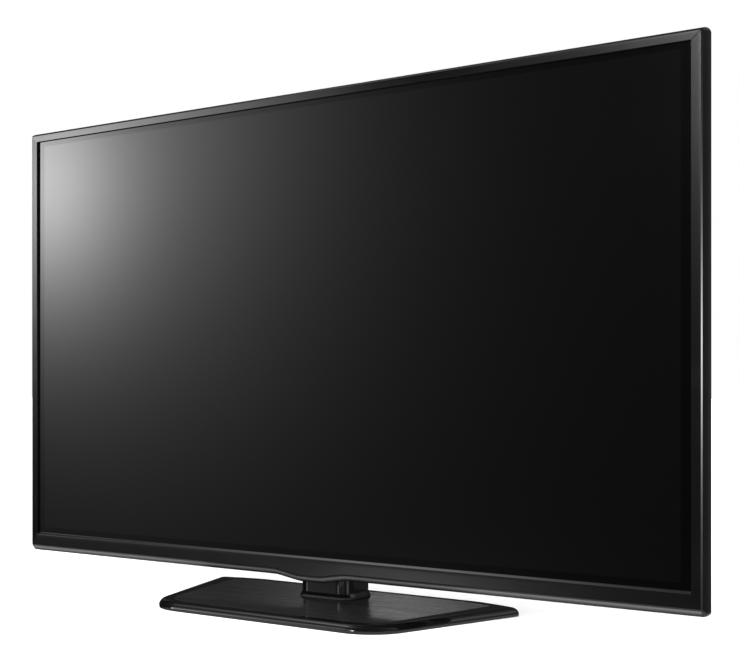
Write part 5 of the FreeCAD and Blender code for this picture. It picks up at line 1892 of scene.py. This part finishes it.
@dataclass
class Studio:
    """Pale floor, soft light and the camera of the photograph."""

    azimuth: float = 34.66
    place: Triple = (1.1477, -1.5164, 0.3163)
    lens: float = 64.18
    sensor: float = 36.0
    clip: Flat = (0.05, 200.0)
    shift_up: float = 0.0777
    floor_half: float = 40.0
    floor_level: float = 0.86
    floor_roughness: float = 0.9
    sky_level: float = 1.0
    sun_strength: float = 3.4
    sun_spread: float = 75.0
    sun_turn: Triple = (12.0, -8.0, 0.0)
    panels: tuple[SoftPanel, ...] = (
        SoftPanel("window on the screen", 48.9, 8.7, 5.3, 7.1, 3.0, 18.5),
        SoftPanel("right bezel", 11.0, 14.6, 3.5, 5.2, 3.0, 58.0),
        SoftPanel("top bezel, right", 18.0, 21.5, 10.0, 3.2, 4.0, 13.5),
        SoftPanel("long fade on the screen", 43.3, 11.0, 6.9, 9.8, 1.45, 2.6),
        SoftPanel("top bezel, left", 49.0, 16.0, 7.0, 3.0, 3.0, 3.0),
        SoftPanel("dark card, top bezel", 35.0, 18.5, 6.0, 3.5, 3.0, -0.9),
        SoftPanel("dark card, left bezel", 57.0, 2.0, 5.0, 10.0, 2.0, -1.6),
        SoftPanel("dark card, lower bezel", 46.0, -10.6, 11.0, 3.0, 3.0, -0.32),
        SoftPanel("lower bezel, middle", 33.8, -11.4, 6.5, 2.6, 2.5, 1.6),
        SoftPanel("lip below the screen", 66.0, 55.0, 19.0, 9.0, 2.0, 2.7),
        SoftPanel("front edge of the base", 37.0, 29.0, 11.0, 4.5, 3.0, 6.0),
        SoftPanel("right chamfer", -69.0, 1.6, 7.0, 4.6, 2.0, 24.0),
        SoftPanel("front of the neck", -6.0, 3.0, 13.0, 14.0, 4.0, 5.0),
        SoftPanel("right corner of the neck", -30.0, 3.0, 18.0, 14.0, 4.0, 4.0),
        SoftPanel("left corner of the neck", 66.0, -9.0, 6.0, 5.0, 5.0, 9.0),
        SoftPanel("right side", -130.0, -2.0, 40.0, 20.0, 2.0, 0.2),
        SoftPanel("brushed plate", 145.3, 18.5, 5.0, 3.5, 3.0, 3.4),
        SoftPanel("back", -120.0, 38.0, 30.0, 18.0, 2.0, 1.0),
    )
    below_level: float = 0.95
    below_from: float = -13.0
    below_to: float = -20.0
    floor_glow: float = 0.01
    shadow_lift: float = 0.3
    fill_strength: float = 8.0
    fill_spread: float = 60.0
    fill_turn: Triple = (82.0, 0.0, 20.0)

    def build_camera(self) -> None:
        """Sets the camera where the photograph was taken from."""
        data = bpy.data.cameras.new("camera")
        data.lens = self.lens
        data.sensor_width = self.sensor
        data.shift_y = self.shift_up
        data.clip_start, data.clip_end = self.clip
        camera = bpy.data.objects.new("camera", data)
        camera.location = self.place
        camera.rotation_euler = (math.pi / 2, 0.0, math.radians(self.azimuth))
        bpy.context.scene.collection.objects.link(camera)
        bpy.context.scene.camera = camera

    def build_floor(self) -> None:
        """Lays the pale floor, seen from above only and not mirrored in the gloss."""
        half = self.floor_half
        draft = Draft()
        square = [(-half, -half), (half, -half), (half, half), (-half, half)]
        draft.cap(draft.ring(raised(square, 0.0, Axis.Z)))
        canvas = Canvas("floor")
        canvas.set(
            Base_Color=tone(self.floor_level), Roughness=self.floor_roughness, Specular_IOR_Level=0.0,
            Emission_Color=tone(1.0), Emission_Strength=self.shadow_lift)
        nodes = canvas.nodes
        clear = nodes.add("ShaderNodeBsdfTransparent")
        side = nodes.add("ShaderNodeNewGeometry")
        mix = nodes.add("ShaderNodeMixShader")
        nodes.feed(mix.inputs[0], side.outputs["Backfacing"])
        nodes.feed(mix.inputs[1], canvas.shader.outputs[0])
        nodes.feed(mix.inputs[2], clear.outputs[0])
        out = next(node for node in nodes.tree.nodes if node.type == "OUTPUT_MATERIAL")
        nodes.feed(out.inputs["Surface"], mix.outputs[0])
        floor = draft.build("floor", canvas.material)
        if floor.data.polygons[0].normal.z < 0:
            floor.data.flip_normals()
        floor.visible_glossy = False

    def panel_group(self) -> bpy.types.NodeTree:
        """A soft panel, full at its centre and fading out all round.

        Returns:
            The group, with its glow.
        """
        tree, nodes, given, out = new_group(
            "soft panel",
            {"Azimuth": 0.0, "Elevation": 0.0, "Centre Azimuth": 0.0, "Centre Elevation": 0.0,
             "Width": 5.0, "Height": 5.0, "Fade": 1.25, "Strength": 1.0}, ["Glow"])
        across = nodes.math("SUBTRACT", given.outputs["Azimuth"], given.outputs["Centre Azimuth"])
        across = nodes.math("WRAP", across, 180.0, -180.0)
        shorten = nodes.math("COSINE", nodes.math("RADIANS", given.outputs["Elevation"]))
        across = nodes.math("DIVIDE", nodes.math("MULTIPLY", across, shorten), given.outputs["Width"])
        up = nodes.math("SUBTRACT", given.outputs["Elevation"], given.outputs["Centre Elevation"])
        up = nodes.math("DIVIDE", up, given.outputs["Height"])
        square = nodes.math("ADD", nodes.math("MULTIPLY", across, across), nodes.math("MULTIPLY", up, up))
        fall = nodes.math("POWER", nodes.math("ADD", square, 1.0), given.outputs["Fade"])
        nodes.feed(out.inputs["Glow"], nodes.math("DIVIDE", given.outputs["Strength"], fall))
        return tree

    def build_surroundings(self) -> None:
        """Makes the pale backdrop and the dim room with soft panels that the gloss mirrors."""
        world = bpy.data.worlds.new("studio")
        bpy.context.scene.world = world
        world.use_nodes = True
        world.node_tree.nodes.clear()
        nodes = Nodes(world.node_tree)
        direction = nodes.add("ShaderNodeTexCoord").outputs["Generated"]
        x, y, z = nodes.split(direction)
        left, ahead = nodes.math("MULTIPLY", x, -1.0), nodes.math("MULTIPLY", y, -1.0)
        azimuth = nodes.math("DEGREES", nodes.math("ARCTAN2", left, ahead))
        elevation = nodes.math("DEGREES", nodes.math("ARCSINE", z))
        tree = self.panel_group()
        glow = nodes.ramp(elevation, self.below_to, self.below_from, self.below_level, self.floor_glow)
        for soft in self.panels:
            panel = nodes.group(
                tree, Azimuth=azimuth, Elevation=elevation, Centre_Azimuth=soft.azimuth,
                Centre_Elevation=soft.elevation, Width=soft.width, Height=soft.height, Fade=soft.fade,
                Strength=soft.strength)
            panel.label = soft.name
            glow = nodes.math("ADD", glow, panel.outputs[0])
        glow = nodes.math("MAXIMUM", glow, 0.0)
        room = nodes.add("ShaderNodeBackground")
        nodes.feed(room.inputs["Strength"], glow)
        backdrop = nodes.add("ShaderNodeBackground")
        backdrop.inputs["Strength"].default_value = self.sky_level
        for shade in (room, backdrop):
            shade.inputs["Color"].default_value = tone(1.0)
        ray = nodes.add("ShaderNodeLightPath")
        mix = nodes.add("ShaderNodeMixShader")
        nodes.feed(mix.inputs[0], ray.outputs["Is Camera Ray"])
        nodes.feed(mix.inputs[1], room.outputs[0])
        nodes.feed(mix.inputs[2], backdrop.outputs[0])
        out = nodes.add("ShaderNodeOutputWorld")
        nodes.feed(out.inputs["Surface"], mix.outputs[0])

    def build_lights(self) -> None:
        """Hangs the broad soft light above the object, and sets a low fill in front of it."""
        self.hang("overhead", self.sun_strength, self.sun_spread, self.sun_turn)
        self.hang("front fill", self.fill_strength, self.fill_spread, self.fill_turn)

    def hang(self, name: str, strength: float, spread: float, turn: Triple) -> None:
        """Adds one broad light that the gloss doesn't mirror.

        Args:
            name: the light's name.
            strength: its strength.
            spread: how broad it is, in degrees.
            turn: its turn in degrees; unturned it shines straight down.
        """
        data = bpy.data.lights.new(name, "SUN")
        data.energy = strength
        data.angle = math.radians(spread)
        light = bpy.data.objects.new(name, data)
        light.rotation_euler = [math.radians(part) for part in turn]
        light.visible_glossy = False
        bpy.context.scene.collection.objects.link(light)

    def build(self) -> None:
        """Sets up the whole studio."""
        bpy.context.scene.view_settings.view_transform = "Standard"
        self.build_camera()
        self.build_floor()
        self.build_surroundings()
        self.build_lights()


def main() -> None:
    logging.basicConfig(level=logging.INFO, format="%(name)s %(message)s")
    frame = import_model()
    picture_side, picture_edge = 0.02, 0.014
    glass_low, glass_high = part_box("filter_glass")
    screen = ScreenGlass(
        "filter_glass", active_half=glass_high.x - picture_side, active_low=glass_low.z + picture_edge,
        active_high=glass_high.z - picture_edge)
    shop = Workshop(frame, Finishes(SharedGroups(), screen))
    stages: list[tuple[str, Callable[[], None]]] = [
        ("studio", Studio().build),
        ("front bezel", FrontBezel(shop).build),
        ("stand base", StandBase(shop).build),
        ("neck", Neck(shop).build),
        ("fasteners", Fasteners(shop).build),
        ("back panel", BackPanel(shop).build),
        ("remaining nodes", shop.paint_rest),
    ]
    for title, make in stages:
        log.info("stage: %s", title)
        make()


if __name__ == "__main__":
    main()
